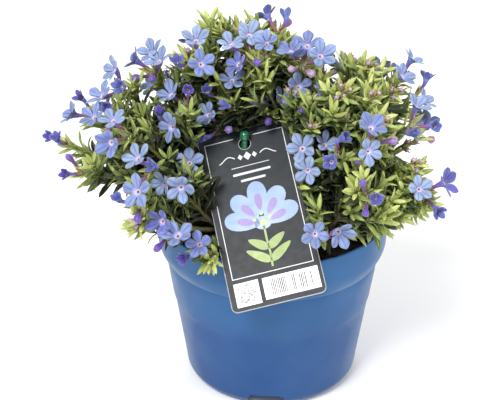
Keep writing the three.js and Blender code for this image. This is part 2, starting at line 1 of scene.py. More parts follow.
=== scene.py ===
"""A lithodora in full flower in a round blue pot, with its plant label on a green peg.

The plant is grown from the same list of stems and shoots as the solids, with finer and many more
leaves, funnel-shaped flowers, buds, calyces and hairs. Lengths are millimetres until a mesh is made.
"""
import math
from collections import namedtuple

import bmesh
import bpy
import numpy as np
from mathutils import Matrix, Vector


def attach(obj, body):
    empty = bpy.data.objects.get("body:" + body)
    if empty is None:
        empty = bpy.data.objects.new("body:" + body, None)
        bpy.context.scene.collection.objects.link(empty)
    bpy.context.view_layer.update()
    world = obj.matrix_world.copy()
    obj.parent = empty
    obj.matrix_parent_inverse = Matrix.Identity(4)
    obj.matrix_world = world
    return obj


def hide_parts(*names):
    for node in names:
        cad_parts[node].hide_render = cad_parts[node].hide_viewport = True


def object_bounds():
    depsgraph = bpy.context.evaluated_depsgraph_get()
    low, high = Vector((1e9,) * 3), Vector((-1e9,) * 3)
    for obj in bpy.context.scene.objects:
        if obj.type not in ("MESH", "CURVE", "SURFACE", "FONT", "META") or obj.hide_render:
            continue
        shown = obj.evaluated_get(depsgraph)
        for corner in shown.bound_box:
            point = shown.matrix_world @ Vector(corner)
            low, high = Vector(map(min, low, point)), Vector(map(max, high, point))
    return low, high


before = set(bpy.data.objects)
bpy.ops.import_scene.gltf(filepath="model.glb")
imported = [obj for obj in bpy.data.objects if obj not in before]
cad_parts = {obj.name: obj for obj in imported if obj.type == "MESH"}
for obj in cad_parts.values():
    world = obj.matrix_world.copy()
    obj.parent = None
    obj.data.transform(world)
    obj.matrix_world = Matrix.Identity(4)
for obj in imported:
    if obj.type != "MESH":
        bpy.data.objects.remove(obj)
CAD_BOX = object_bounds()

MM = 0.001
SEED = 4127
UP = np.array([0.0, 0.0, 1.0])
rng = np.random.default_rng(SEED)

# Camera: the photograph's own viewpoint
CAMERA_PLACE = (0.0, -560.5, 375.6)
CAMERA_PITCH = 26.323
CAMERA_YAW = -1.191
CAMERA_LENS = 86.57
SENSOR = 36.0

# Light: each lamp's name, place in metres, size and power
WORLD_LIGHT = 0.56
LIGHTS_AIM = (0.0, 0.0, 0.1)
LIGHTS = [
    ("key", (-0.5, -0.92, 1.3), 0.55, 23.0),
    ("fill", (1.0, -0.5, 0.75), 0.8, 6.0),
    ("back", (0.1, 1.0, 0.9), 0.9, 8.0),
]

# Pot
POT_HEIGHT = 93.0
RIM_RADIUS = 60.0
WALL = 1.5
RIM_INSIDE = RIM_RADIUS - WALL - 0.2
LIP = 0.8
COLLAR_RADIUS = 59.8
COLLAR_FOOT = 76.5
CREASE_RADIUS = 55.9
CREASE_HEIGHT = 70.2
SHOULDER_HEIGHT = 47.0
SHOULDER_STEP = 0.5
FOOT_RADIUS = 45.6
CORNER_RADIUS = 7.4
POT_FLOOR = 5.0
POT_SIDES = 192
CHANNELS = 4
CHANNEL_TURN = -3.6
CHANNEL_WIDTH = 26.0
CHANNEL_TOP = 15.0
CHANNEL_HEIGHT = 3.0
CHANNEL_INNER = 14.0
NOTCH_HEIGHT = 2.8
NOTCH_INNER = 36.0
NOTCH_MOUTH = 9.1
DRAIN_RADIUS = 4.0
DRAIN_AT = 30.0

# Soil
SOIL_LEVEL = 85.0
SOIL_GAP = 0.3
CRUMBS = 1500

# Label, in its own plane: x to the right, y up from the middle of the hole. Its face is kept in view
# along a line that leans less than its normal: the sight is that line's slope towards +x and +y.
LABEL_HOLE = np.array([-14.0, -14.8, 136.5])
LABEL_WIDTH = 46.0
LABEL_ABOVE = 8.4
LABEL_BELOW = 83.5
LABEL_CORNER = 3.0
LABEL_THICKNESS = 0.7
LABEL_HOLE_RADIUS = 2.9
LABEL_LEAN = 45.0
LABEL_TURN = -11.2
LABEL_ROLL = 20.6
LABEL_SIGHT = (-0.07, 0.43)
LABEL_CLEAR, LABEL_CLEAR_THICK = 0.3, 1.2
LABEL_COVERED, LABEL_COVERED_TOP = 3, 2
TUFT_DEPTH, TUFT_FOOT, TUFT_TOP = 8.5, -26, -5
FILM = 0.04
CUT_EDGE = 0.35

# Peg
PEG_RADIUS = 1.5
PEG_HEAD = 2.4
PEG_DEPTH = 44.0
PEG_POINT = 7.0
PEG_NECK_TOP = 2.2
PEG_HEAD_FOOT = 3.2
PEG_HEAD_TOP = 5.4
PEG_DOME = 7.0
PEG_EASE = 0.4
PEG_ROUND = 0.7

# Plant
CROWN = np.array([0.0, 0.0, 88.0])
TRUNK_FOOT, TRUNK_FORK = 2.0, 1.6
TRUNK_DEPTH, TRUNK_RISE, TRUNK_REACH, FORK_FROM = 9.0, 9.0, 36.0, 0.7
SHOOT_FOOT, SHOOT_TIP = 1.2, 0.75
WOOD_SIDES = 6
FACE_LEAN, FACE_LIFT = 0.75, 0.15
FLOWER_HELD, BUD_HELD = 12.0, 7.0
SPREAD = (0.0, 0.0, 6.6, 8.0, 9.0)
STEPS = (0.0, -2.8, -1.4, -4.0)
FACE_TILT, BUD_TILT = 14.0, 44.0
HUB_GAP = 0.3
GOLDEN_ANGLE = 137.5
LEAF_HALF_WIDTH = 1.72
LEAF_SPACING = 1.8
TWIGS = 8
OUTLINE_DIP = 2.0
OUTLINE_CORE = 34.0
LEAF_MARGIN, TWIG_MARGIN = 2.5, -5.0
LEAF_SHADE = 0.021
SHADE_FROM = 5.0
GROWN_AT = 15.0
WALL_OUTSIDE, WALL_INSIDE, WALL_OVER, SOIL_OVER = 1.2, 3.2, 0.8, 1.5
BARE_RIM, BARE_OVER, BARE_INSIDE = (-72.0, -12.0), 4, 6
ROOT_AHEAD, ROOT_ASIDE, BUD_REACH = 0.6, 0.7, 6.3
HALF_OPEN = 0.24
HALF_OPEN_TONE, HALF_OPEN_SIZE, HALF_OPEN_CUP = (0.6, 1.0), (0.66, 0.84), (22, 38)
OPEN_TONE, OPEN_SIZE, OPEN_CUP = (0.34, 0.24), (0.87, 1.08), (54, 74)
# Degrees off the shoot at a leaf's foot and at its tip: when young, what growth adds, and the spread
FOOT_TURN, TIP_TURN = (22, 18, 6), (48, 42, 14)
BOX_MARGIN = 0.2
WOOD, LEAVES, SEPALS, BUDS = 0, 1, 2, 3
PETALS, TUBES, HAIRS = 0, 1, 4

# Dark hollows between the shoots: two ends and a radius
HOLLOWS = [
    ((-37, -62, 128), (-35, -46, 118), 6.0),
    ((-36, -62, 110), (-34, -46, 104), 6.5),
    ((27, -66, 131), (28, -46, 120), 4.5),
    ((31, -64, 114), (32, -46, 106), 5.5),
    ((-59, -42, 141), (-55, -30, 132), 5.0),
    ((62, -60, 154), (76, 50, 107), 6.5),
    ((-58, -60, 104), (-64, -10, 80), 6.0),
]
# Leafy shoots between the stems' own ones: the stem's number, its bearing, rise and reach, and its buds
FILLERS = [
    (6, (-147, 69, 92), 0), (6, (-131, 75, 92), 0), (7, (-101, 76, 92), 0), (6, (-110, 81, 98), 1),
    (6, (-136, 69, 84), 0), (7, (-56, 79, 95), 0), (7, (-67, 73, 84), 1), (2, (-170, 65, 106), 2),
    (10, (-34, 22, 88), 1), (10, (-31, 28, 92), 1), (10, (-36, 24, 76), 0), (10, (-31, 23, 94), 0),
    (9, (-51, 14, 62), 0), (9, (-48, 9, 58), 0), (9, (-53, 24, 64), 0),
    (4, (-137, 40, 66), 0), (7, (-178, 86, 109), 0), (6, (180, 80, 106), 1), (6, (-120, 78, 73), 1),
    (7, (-92, 77, 72), 0), (6, (-149, 70, 75), 0), (7, (-62, 72, 74), 0), (3, (-150, 52, 92), 0),
    (8, (-66, 56, 86), 1), (8, (-66, 41, 60), 0), (9, (-62, 33, 56), 0), (8, (-51, 55, 92), 1),
]

Shoot = namedtuple("Shoot", "to open buds roll look bend", defaults=(0, (0, 0), (0, 0)))
Stem = namedtuple("Stem", "foot shoots")

# Each stem has the bearing and radius of its foot. A shoot has its bearing, rise and reach from the
# crown, its open flowers and its buds, the bearing of its first flower round the shoot, how far its
# flowers look towards +X and up, and how far it swings out sideways and upwards.
STEMS = [
    Stem((176, 33), [
        Shoot((180, 20, 121), 2, 0, 40),
        Shoot((-161, 21, 113), 1, 1),
        Shoot((160, 24, 106), 2, 0, 90),
    ]),
    Stem((-172, 24), [
        Shoot((177, 30, 116), 2, 0, 90),
        Shoot((-158, 38, 113), 2, 1, 60),
        Shoot((-169, 45, 114), 3, 0),
    ]),
    Stem((-178, 14), [
        Shoot((-174, 54, 108), 3, 2, 30),
        Shoot((-158, 66, 105), 3, 0, 90, bend=(0, 4)),
        Shoot((165, 73, 117), 0, 0),
    ]),
    Stem((-146, 30), [
        Shoot((-148, 38, 110), 2, 0, 120, bend=(-2, 3)),
        Shoot((-139, 33, 97), 2, 1, 20, bend=(-7, 4)),
        Shoot((-134, 24, 104), 2, 1, 60),
        Shoot((-152, 27, 84), 0, 0),
    ]),
    Stem((-122, 33), [
        Shoot((-132, 29, 83), 2, 0, 30),
        Shoot((-125, 17, 91), 2, 1),
        Shoot((-134, 17, 99), 0, 1),
        Shoot((-118, 10, 77), 2, 0, 80),
        Shoot((-140, 38, 64), 2, 0, 110, look=(0.5, 0)),
        Shoot((-100, 14, 52), 0, 0),
    ]),
    Stem((-140, 17), [
        Shoot((-154, 46, 88), 2, 1, bend=(-4, 0)),
        Shoot((-160, 56, 89), 2, 1, 45, bend=(-3, -2)),
        Shoot((-150, 69, 82), 3, 0, 60),
        Shoot((-149, 59, 69), 2, 1, 120, look=(0, -0.5)),
    ]),
    Stem((110, 6), [
        Shoot((-130, 79, 101), 4, 1, 20, bend=(0, 4)),
        Shoot((70, 86, 110), 2, 1, bend=(-3, -2)),
        Shoot((144, 78, 108), 0, 2),
        Shoot((-95, 80, 70), 2, 1, 20),
    ]),
    Stem((-20, 12), [
        Shoot((-52, 76, 99), 3, 2, bend=(2, 1)),
        Shoot((-50, 71, 82), 2, 1),
        Shoot((-51, 59, 105), 0, 3),
        Shoot((-38, 54, 105), 0, 2),
        Shoot((127, 81, 112), 0, 0),
    ]),
    Stem((-52, 27), [
        Shoot((-51, 43, 104), 2, 1, 110),
        Shoot((-60, 44, 90), 2, 1, 90, bend=(4, 0)),
        Shoot((-64, 49, 72), 3, 1, 50),
        Shoot((-42, 48, 104), 0, 2),
    ]),
    Stem((-60, 36), [
        Shoot((-58, 29, 100), 1, 2),
        Shoot((-70, 18, 80), 2, 0, 30),
        Shoot((-44, 16, 74), 0, 0),
        Shoot((-36, 33, 102), 0, 1),
    ]),
    Stem((-18, 28), [
        Shoot((-33, 23, 100), 3, 0, 30),
        Shoot((-20, 41, 101), 3, 0, 90),
        Shoot((-4, 33, 86), 0, 1),
        Shoot((-23, 52, 105), 0, 2),
    ]),
    Stem((8, 17), [
        Shoot((8, 40, 106), 2, 0, 90),
        Shoot((11, 47, 106), 2, 0, 60),
        Shoot((-9, 61, 103), 0, 2),
        Shoot((22, 24, 98), 2, 1),
    ]),
    Stem((120, 27), [
        Shoot((134, 30, 101), 3, 1),
        Shoot((126, 52, 102), 3, 0),
        Shoot((98, 40, 98), 3, 1),
        Shoot((112, 20, 92), 2, 0),
        Shoot((80, 58, 96), 0, 2),
        Shoot((150, 14, 84), 0, 0),
    ]),
    Stem((52, 27), [
        Shoot((76, 20, 93), 2, 1),
        Shoot((46, 28, 98), 3, 0),
        Shoot((60, 50, 89), 3, 1),
        Shoot((34, 44, 98), 3, 1),
        Shoot((92, 68, 94), 0, 2),
        Shoot((24, 62, 97), 0, 1),
    ]),
]


# Directions and curves
def full_turn(steps):
    return np.linspace(0, 2 * math.pi, steps, endpoint=False)


def unit(vectors):
    return vectors / np.linalg.norm(vectors, axis=-1, keepdims=True)


def direction(bearing, rise):
    turn, lift = math.radians(bearing), math.radians(rise)
    return np.array([math.cos(turn) * math.cos(lift), math.sin(turn) * math.cos(lift), math.sin(lift)])


def square_to(axis):
    """Two directions square to the axis: the first is level, and the second points upwards."""
    level = np.cross(UP, axis)
    if level @ level < 1e-6:
        level = np.array([1.0, 0.0, 0.0])
    level = unit(level)
    return level, np.cross(axis, level)


def between(first, second, degrees):
    return first * math.cos(math.radians(degrees)) + second * math.sin(math.radians(degrees))


def bezier(points, t):
    """Points of a Bezier curve of any degree, by repeated halving of its control polygon."""
    t = np.asarray(t, float)[:, None]
    layer = [np.broadcast_to(point, (len(t), 3)) for point in points]
    while len(layer) > 1:
        layer = [a * (1 - t) + b * t for a, b in zip(layer, layer[1:])]
    return layer[0]


class Path:
    """A curve that can be read by the length along it."""

    def __init__(self, points, steps=60):
        self.points = bezier(points, np.linspace(0, 1, steps))
        gaps = np.linalg.norm(np.diff(self.points, axis=0), axis=1)
        self.at = np.concatenate([[0], np.cumsum(gaps)])
        self.length = self.at[-1]
        self.tangents = unit(np.gradient(self.points, self.at, axis=0))

    def read(self, table, lengths):
        return np.stack([np.interp(lengths, self.at, table[:, k]) for k in range(3)], axis=-1)

    def point(self, lengths):
        return self.read(self.points, lengths)

    def tangent(self, lengths):
        return unit(self.read(self.tangents, lengths))


# Meshes: many small closed tubes, each of them rings of points
class Heap:
    """Collects closed tubes. Marks are three numbers a point, which the materials read."""

    def __init__(self):
        self.points = []
        self.marks = []
        self.corners = []
        self.starts = []
        self.slots = []
        self.point_count = 0
        self.corner_count = 0

    def add_faces(self, faces, slot):
        """faces is an array with one row of point numbers a face."""
        sides = faces.shape[1]
        self.corners.append(faces.ravel())
        self.starts.append(self.corner_count + np.arange(len(faces)) * sides)
        self.slots.append(np.full(len(faces), slot))
        self.corner_count += faces.size

    def tubes(self, points, marks, slot=0):
        """points and marks are (copies, rings, around, 3), counter-clockwise seen from the far end."""
        copies, rings, around, _ = points.shape
        if copies == 0:
            return
        number = self.point_count + np.arange(copies * rings * around).reshape(copies, rings, around)
        following = np.roll(number, -1, axis=2)
        quads = [number[:, :-1], following[:, :-1], following[:, 1:], number[:, 1:]]
        self.add_faces(np.stack(quads, axis=-1).reshape(-1, 4), slot)
        self.add_faces(number[:, 0, ::-1], slot)
        self.add_faces(number[:, -1], slot)
        self.points.append(points.reshape(-1, 3))
        self.marks.append(np.broadcast_to(marks, points.shape).reshape(-1, 3))
        self.point_count += copies * rings * around

    def piece(self, name, materials, sharp=None):
        mesh = bpy.data.meshes.new(name)
        points = np.concatenate(self.points) * MM
        mesh.vertices.add(len(points))
        mesh.vertices.foreach_set("co", points.astype(np.float32).ravel())
        corners = np.concatenate(self.corners).astype(np.int32)
        mesh.loops.add(len(corners))
        mesh.loops.foreach_set("vertex_index", corners)
        starts = np.concatenate(self.starts).astype(np.int32)
        mesh.polygons.add(len(starts))
        mesh.polygons.foreach_set("loop_start", starts)
        mesh.polygons.foreach_set("material_index", np.concatenate(self.slots).astype(np.int32))
        mesh.polygons.foreach_set("use_smooth", np.ones(len(starts), bool))
        marks = mesh.attributes.new("marks", "FLOAT_VECTOR", "POINT")
        marks.data.foreach_set("vector", np.concatenate(self.marks).astype(np.float32).ravel())
        mesh.update(calc_edges=True)
        if sharp:
            mesh.set_sharp_from_angle(angle=math.radians(sharp))
        for material in materials:
            mesh.materials.append(material)
        return linked(name, mesh)


def linked(name, data):
    made = bpy.data.objects.new(name, data)
    bpy.context.scene.collection.objects.link(made)
    return made


def body_piece(name, body, *materials):
    """A piece from a bmesh body, which isn't used again."""
    mesh = bpy.data.meshes.new(name)
    body.to_mesh(mesh)
    body.free()
    for material in materials:
        mesh.materials.append(material)
    return linked(name, mesh)


def finish_piece(piece, slot, *nodes):
    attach(piece, "root")
    if nodes:
        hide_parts(*nodes)


# A blade is an arched leaf, petal or sepal. Its section runs from the right edge over the upper side
# to the left edge and back below; across is -1 to 1, and height is in half-widths.
Profile = namedtuple("Profile", "along width across height")
LEAF = Profile(
    along=np.array([0, 0.16, 0.38, 0.62, 0.85, 1.0]),
    width=np.array([0.45, 0.72, 0.97, 0.95, 0.63, 0.06]),
    across=np.array([1, 0.5, 0, -0.5, -1, 0]),
    height=np.array([-0.34, 0.1, -0.14, 0.1, -0.34, -0.42]),
)
PETAL = Profile(
    along=np.array([0, 0.1, 0.24, 0.4, 0.54, 0.68, 0.81, 0.92, 1.0]),
    width=np.array([0.36, 0.46, 0.66, 0.86, 0.98, 1.0, 0.86, 0.52, 0.1]),
    across=np.array([1, 0.5, 0, -0.5, -1, -0.5, 0, 0.5]),
    height=np.array([-0.04, 0.13, -0.1, 0.13, -0.04, 0.0, -0.2, 0.0]),
)
SEPAL = Profile(
    along=np.array([0, 0.3, 0.7, 1.0]),
    width=np.array([0.8, 1.0, 0.7, 0.08]),
    across=np.array([1, 0, -1, 0]),
    height=np.array([0, 0.25, 0, -0.35]),
)


def blades(profile, roots, axis, out, length, width, start, end, twist=0.0):
    """Arched blades as (copies, rings, around, 3). A blade leaves its root at start degrees from the
    axis, towards out, and ends at end degrees. Its upper side looks along the axis."""
    copies = len(roots)
    given = (length, width, start, end, twist)
    length, width, start, end, twist = (np.broadcast_to(np.asarray(value, float), copies) for value in given)
    start, end = np.radians(start)[:, None], np.radians(end)[:, None]
    first = axis * np.cos(start) + out * np.sin(start)
    last = axis * np.cos(end) + out * np.sin(end)
    bend = roots + first * length[:, None] * 0.45
    tip = bend + last * length[:, None] * 0.55
    u = profile.along[None, :, None]
    centre = roots[:, None] * (1 - u) ** 2 + bend[:, None] * 2 * u * (1 - u) + tip[:, None] * u ** 2
    tangent = unit((bend - roots)[:, None] * (1 - u) + (tip - bend)[:, None] * u)
    side = np.broadcast_to(unit(np.cross(axis, out))[:, None], tangent.shape)
    normal = np.cross(tangent, side)
    turn = np.radians(twist)[:, None, None] * u
    c, s = np.cos(turn), np.sin(turn)
    side, normal = side * c + normal * s, normal * c - side * s
    half = (width[:, None] * profile.width[None])[:, :, None, None]
    across = profile.across[None, None, :, None] * half
    height = profile.height[None, None, :, None] * half
    return centre[:, :, None] + side[:, :, None] * across + normal[:, :, None] * height


def blade_marks(profile, kind):
    """Marks: how far along, how far across, and the kind of each copy."""
    copies = len(kind)
    shape = (copies, len(profile.along), len(profile.across))
    along = np.broadcast_to(profile.along[None, :, None], shape)
    across = np.broadcast_to(profile.across[None, None, :], shape)
    return np.stack([along, across, np.broadcast_to(kind[:, None, None], shape)], axis=-1)


def tube_points(centres, radii, around, lobes=0, lobe_depth=0.0, lobe_turn=0.0):
    """Round tubes along centres (copies, rings, 3), with radii (copies, rings)."""
    tangents = unit(np.gradient(centres, axis=1))
    reference = np.where(np.abs(tangents[:, :1, 2:]) > 0.8, [1.0, 0.0, 0.0], [0.0, 0.0, 1.0])
    side = unit(np.cross(np.broadcast_to(reference, tangents.shape), tangents))
    normal = np.cross(tangents, side)
    angle = full_turn(around)
    rings = np.arange(centres.shape[1])
    wave = 1 + lobe_depth * np.cos(lobes * angle[None] + lobe_turn * rings[:, None])
    radius = (radii[:, :, None] * wave[None])[..., None]
    across = np.cos(angle)[None, None, :, None] * radius
    up = np.sin(angle)[None, None, :, None] * radius
    return centres[:, :, None] + side[:, :, None] * across + normal[:, :, None] * up


def ring_marks(copies, along, around, kind):
    """Marks for tubes: how far along, how far round, and the kind of each copy."""
    shape = (copies, len(along), around)
    u = np.broadcast_to(np.asarray(along)[None, :, None], shape)
    round_share = np.broadcast_to(np.linspace(0, 1, around, endpoint=False), shape)
    return np.stack([u, round_share, np.broadcast_to(kind[:, None, None], shape)], axis=-1)


# Materials
def srgb(red, green, blue):
    """A colour from 0-255 screen values."""
    values = [value / 255 for value in (red, green, blue)]
    return tuple(v / 12.92 if v <= 0.04045 else ((v + 0.055) / 1.055) ** 2.4 for v in values) + (1.0,)


class Shader:
    """A material's node tree, with short words for the nodes that the materials use. A colour is three
    screen values. A ramp's stop is its place and a colour or a share. A texture is given by how many
    features it has in a millimetre, and by its detail."""

    def __init__(self, name, **constants):
        self.material = bpy.data.materials.new(name)
        self.material.use_nodes = True
        self.tree = self.material.node_tree
        self.surface = self.tree.nodes["Principled BSDF"]
        for socket, value in constants.items():
            self.surface.inputs[socket.replace("_", " ")].default_value = value

    def node(self, kind, settings=None, **inputs):
        node = self.tree.nodes.new(kind)
        for key, value in (settings or {}).items():
            setattr(node, key, value)
        for key, value in inputs.items():
            self.put(node.inputs[key], value)
        return node

    def put(self, socket, value):
        if isinstance(value, bpy.types.NodeSocket):
            self.tree.links.new(value, socket)
        else:
            socket.default_value = srgb(*value) if isinstance(value, tuple) else value

    def marks(self):
        node = self.node("ShaderNodeAttribute", {"attribute_name": "marks"})
        split = self.node("ShaderNodeSeparateXYZ", Vector=node.outputs["Vector"])
        return split.outputs[0], split.outputs[1], split.outputs[2]

    def place(self):
        return self.node("ShaderNodeTexCoord").outputs["Object"]

    def height(self, full):
        """Height over the floor, as a share of a full height in millimetres."""
        split = self.node("ShaderNodeSeparateXYZ", Vector=self.place())
        return self.math("DIVIDE", split.outputs[2], full * MM)

    def noise(self, features, detail=3.0, roughness=0.55):
        settings = dict(Scale=features / MM, Detail=detail, Roughness=roughness)
        return self.node("ShaderNodeTexNoise", Vector=self.place(), **settings).outputs[0]

    def ramp(self, value, *stops):
        node = self.node("ShaderNodeValToRGB")
        elements = node.color_ramp.elements
        elements[0].position = stops[0][0]
        elements[-1].position = stops[-1][0]
        for position, _ in stops[1:-1]:
            elements.new(position)
        for element, (_, colour) in zip(elements, stops):
            element.color = srgb(*colour) if isinstance(colour, tuple) else (colour, colour, colour, 1)
        self.put(node.inputs[0], value)
        return node.outputs[0]

    def drift(self, features, detail, *stops):
        """A ramp over noise."""
        return self.ramp(self.noise(features, detail), *stops)

    def mix(self, share, first, second, blend="MIX"):
        node = self.node("ShaderNodeMix", {"data_type": "RGBA", "blend_type": blend})
        for socket, value in zip((0, 6, 7), (share, first, second)):
            self.put(node.inputs[socket], value)
        return node.outputs[2]

    def shade(self, colour, light):
        return self.mix(1.0, colour, light, "MULTIPLY")

    def veil(self, base, colour, share, strength):
        """The base with a colour laid over it, as much as the share times the strength."""
        return self.mix(self.math("MULTIPLY", share, strength), base, colour)

    def math(self, operation, first, second=0.0):
        node = self.node("ShaderNodeMath", {"operation": operation})
        self.put(node.inputs[0], first)
        self.put(node.inputs[1], second)
        return node.outputs[0]

    def colour(self, value):
        self.put(self.surface.inputs["Base Color"], value)

    def rough(self, features, detail, *stops):
        self.put(self.surface.inputs["Roughness"], self.drift(features, detail, *stops))

    def bump(self, height, strength, distance):
        node = self.node("ShaderNodeBump", Strength=strength, Distance=distance * MM, Height=height)
        self.put(self.surface.inputs["Normal"], node.outputs[0])

    def grain(self, features, detail, strength, distance):
        self.bump(self.noise(features, detail), strength, distance)


def pot_material():
    shader = Shader("pot_plastic", Specular_IOR_Level=0.32)
    shoulder = SHOULDER_HEIGHT / POT_HEIGHT
    bands = shader.ramp(
        shader.height(POT_HEIGHT),
        (0.0, (26, 69, 126)), (shoulder - 0.05, (27, 72, 129)),
        (shoulder + 0.06, (36, 86, 139)), (1.0, (40, 94, 146)),
    )
    cloud = shader.drift(0.03, 4.0, (0.35, 0.0), (0.7, 1.0))
    clouded = shader.veil(bands, (84, 128, 168), cloud, 0.14)
    specks = shader.drift(1.2, 2.0, (0.66, 0.0), (0.74, 1.0))
    specked = shader.veil(clouded, (140, 160, 180), specks, 0.1)
    # Painted reflection: towards the edges of the view the colour pales to a grey-blue sheen, standing in for
    # the white surroundings reflected at grazing angles.
    facing = shader.node("ShaderNodeLayerWeight", Blend=0.5).outputs["Facing"]
    painted_grazing_sheen = shader.ramp(facing, (0.6, 0.0), (1.0, 1.0))
    shader.colour(shader.veil(specked, (146, 158, 178), painted_grazing_sheen, 0.45))
    shader.rough(0.08, 5.0, (0.3, 0.42), (0.7, 0.56))
    shader.grain(0.9, 4.0, 0.25, 0.12)
    return shader.material


def soil_material():
    shader = Shader("potting_compost", Roughness=0.95)
    grain = shader.noise(0.45, 6.0, 0.7)
    shader.colour(shader.ramp(grain, (0.3, (22, 15, 11)), (0.55, (52, 37, 27)), (0.75, (98, 74, 52))))
    shader.bump(grain, 0.8, 0.8)
    return shader.material


def leaf_material():
    """Marks: along the leaf, across it, and its age with a random share (0 old to 1 young), lowered as
    painted shade.
    """
    shader = Shader("leaf", Specular_IOR_Level=0.35, Sheen_Weight=0.04, Sheen_Roughness=0.5)
    along, across, kind = shader.marks()
    age_and_shade = shader.ramp(
        kind,
        (0.0, (30, 40, 17)), (0.22, (92, 110, 48)), (0.45, (134, 152, 70)),
        (0.7, (172, 185, 94)), (1.0, (202, 207, 124)),
    )
    body = shader.shade(age_and_shade, shader.drift(0.5, 3.0, (0.3, 0.72), (0.7, 1.18)))
    # The pale midrib, margin and foot are the leaf's own colour, laid on as much as lit says, which is low on
    # old leaves and on leaves in painted shade; the rib and margin are partly painted highlight.
    lit = shader.ramp(kind, (0.0, 0.06), (0.35, 0.6))
    offset = shader.math("ABSOLUTE", across)
    rib = shader.ramp(offset, (0.0, 1.0), (0.1, 0.9), (0.22, 0.0))
    ribbed = shader.veil(body, (182, 194, 134), rib, lit)
    margin = shader.ramp(offset, (0.7, 0.0), (0.96, 1.0))
    edged = shader.veil(ribbed, (184, 196, 148), margin, lit)
    foot = shader.ramp(along, (0.0, 1.0), (0.3, 0.0))
    shader.colour(shader.veil(edged, (140, 152, 76), foot, lit))
    shader.rough(0.8, 3.0, (0.3, 0.32), (0.7, 0.5))
    shader.grain(2.2, 3.0, 0.35, 0.12)
    return shader.material


def twig_material():
    """Marks: along the shoot from the woody foot (0) to the green tip (1)."""
    shader = Shader("shoot_bark", Roughness=0.75)
    along, _, _ = shader.marks()
    tone = shader.ramp(
        along, (0.0, (44, 34, 26)), (0.35, (62, 50, 34)), (0.7, (88, 86, 44)), (1.0, (140, 150, 66))
    )
    shader.colour(shader.shade(tone, shader.drift(0.7, 4.0, (0.3, 0.6), (0.7, 1.2))))
    shader.grain(1.5, 4.0, 0.6, 0.25)
    return shader.material


def petal_material():
    """Marks: along the lobe, across it, and the flower's tone (0 sky blue to 1 violet)."""
    shader = Shader("petal", Roughness=0.55, Sheen_Weight=0.25, Sheen_Roughness=0.4, Specular_IOR_Level=0.3)
    along, across, kind = shader.marks()
    tone = shader.ramp(
        kind,
        (0.0, (152, 170, 202)), (0.4, (130, 147, 192)), (0.7, (104, 112, 182)), (1.0, (98, 78, 170)),
    )
    deep = shader.ramp(kind, (0.0, (84, 104, 168)), (0.5, (68, 80, 158)), (1.0, (62, 46, 138)))
    offset = shader.math("ABSOLUTE", across)
    wander = shader.math("MULTIPLY", shader.noise(0.8, 2.0), 0.16)
    veins = shader.ramp(
        shader.math("ADD", offset, wander),
        (0.1, 1.0), (0.24, 0.25), (0.38, 0.05), (0.48, 0.45),
        (0.56, 0.0), (0.7, 0.0), (0.78, 0.35), (0.86, 0.0),
    )
    veined = shader.veil(tone, deep, veins, 0.7)
    clouded = shader.shade(veined, shader.drift(0.14, 2.0, (0.35, 0.82), (0.65, 1.12)))
    margin = shader.ramp(offset, (0.75, 0.0), (1.0, 1.0))
    edged = shader.veil(clouded, (190, 202, 224), margin, 0.5)
    throat = shader.ramp(along, (0.0, 1.0), (0.14, 0.4), (0.3, 0.0))
    shader.colour(shader.veil(edged, (186, 176, 226), throat, 0.45))
    shader.bump(veins, 0.3, 0.1)
    return shader.material


def tube_material():
    """Marks: along the flower's tube from its stalk (0) to its throat (1), and then down its eye."""
    shader = Shader("flower_tube", Roughness=0.5, Sheen_Weight=0.2)
    along, _, _ = shader.marks()
    tone = shader.ramp(
        shader.math("DIVIDE", along, THROAT_MARKS[-1]),
        (0.0, (150, 160, 70)), (0.12, (132, 74, 70)), (0.3, (146, 82, 130)), (0.46, (120, 96, 180)),
        (0.62, (106, 118, 196)), (0.7, (118, 136, 202)), (0.79, (184, 178, 212)), (0.86, (214, 200, 214)),
        (0.92, (176, 134, 142)), (1.0, (60, 34, 26)),
    )
    shader.colour(shader.shade(tone, shader.drift(1.0, 2.0, (0.35, 0.82), (0.7, 1.12))))
    return shader.material


def bud_material():
    """Marks: along the bud from its stalk to its tip, round it, and its tone (0 pink to 1 violet)."""
    shader = Shader("bud", Roughness=0.5, Sheen_Weight=0.3)
    along, round_share, kind = shader.marks()
    pinks = ((150, 150, 80), (158, 108, 118), (168, 122, 162), (198, 168, 182))
    violets = ((120, 84, 70), (118, 62, 108), (86, 52, 144), (104, 78, 174))
    pink, violet = (shader.ramp(along, *zip((0.0, 0.3, 0.65, 1.0), tones)) for tones in (pinks, violets))
    folds = shader.math("SINE", shader.math("MULTIPLY", round_share, 10 * math.pi))
    light = shader.ramp(shader.math("MULTIPLY_ADD", folds, 0.5), (0.0, 0.7), (0.6, 1.1))
    shader.colour(shader.shade(shader.mix(kind, pink, violet), light))
    return shader.material


def sepal_material():
    """Marks: along the sepal, across it, and its tone (0 green to 1 red)."""
    shader = Shader("calyx", Roughness=0.6, Sheen_Weight=0.3)
    along, _, kind = shader.marks()
    green = shader.ramp(along, (0.0, (168, 182, 74)), (0.6, (176, 188, 84)), (1.0, (186, 160, 92)))
    red = shader.ramp(along, (0.0, (150, 110, 70)), (0.6, (112, 62, 52)), (1.0, (96, 50, 48)))
    shader.colour(shader.mix(kind, green, red))
    shader.grain(2.0, 3.0, 0.4, 0.1)
    return shader.material


def hair_material():
    shader = Shader("hairs", Roughness=0.5, Sheen_Weight=0.4)
    shader.colour(shader.drift(0.3, 3.0, (0.3, (196, 200, 160)), (0.7, (232, 234, 210))))
    return shader.material


def card_material(name, first, second):
    """A printed plastic card: the colour drifts a little, and faint scuffs change its gloss."""
    shader = Shader(name, Specular_IOR_Level=0.45)
    shader.colour(shader.drift(0.04, 4.0, (0.3, first), (0.7, second)))
    shader.rough(0.35, 5.0, (0.35, 0.3), (0.7, 0.42))
    shader.grain(1.6, 3.0, 0.1, 0.03)
    return shader.material


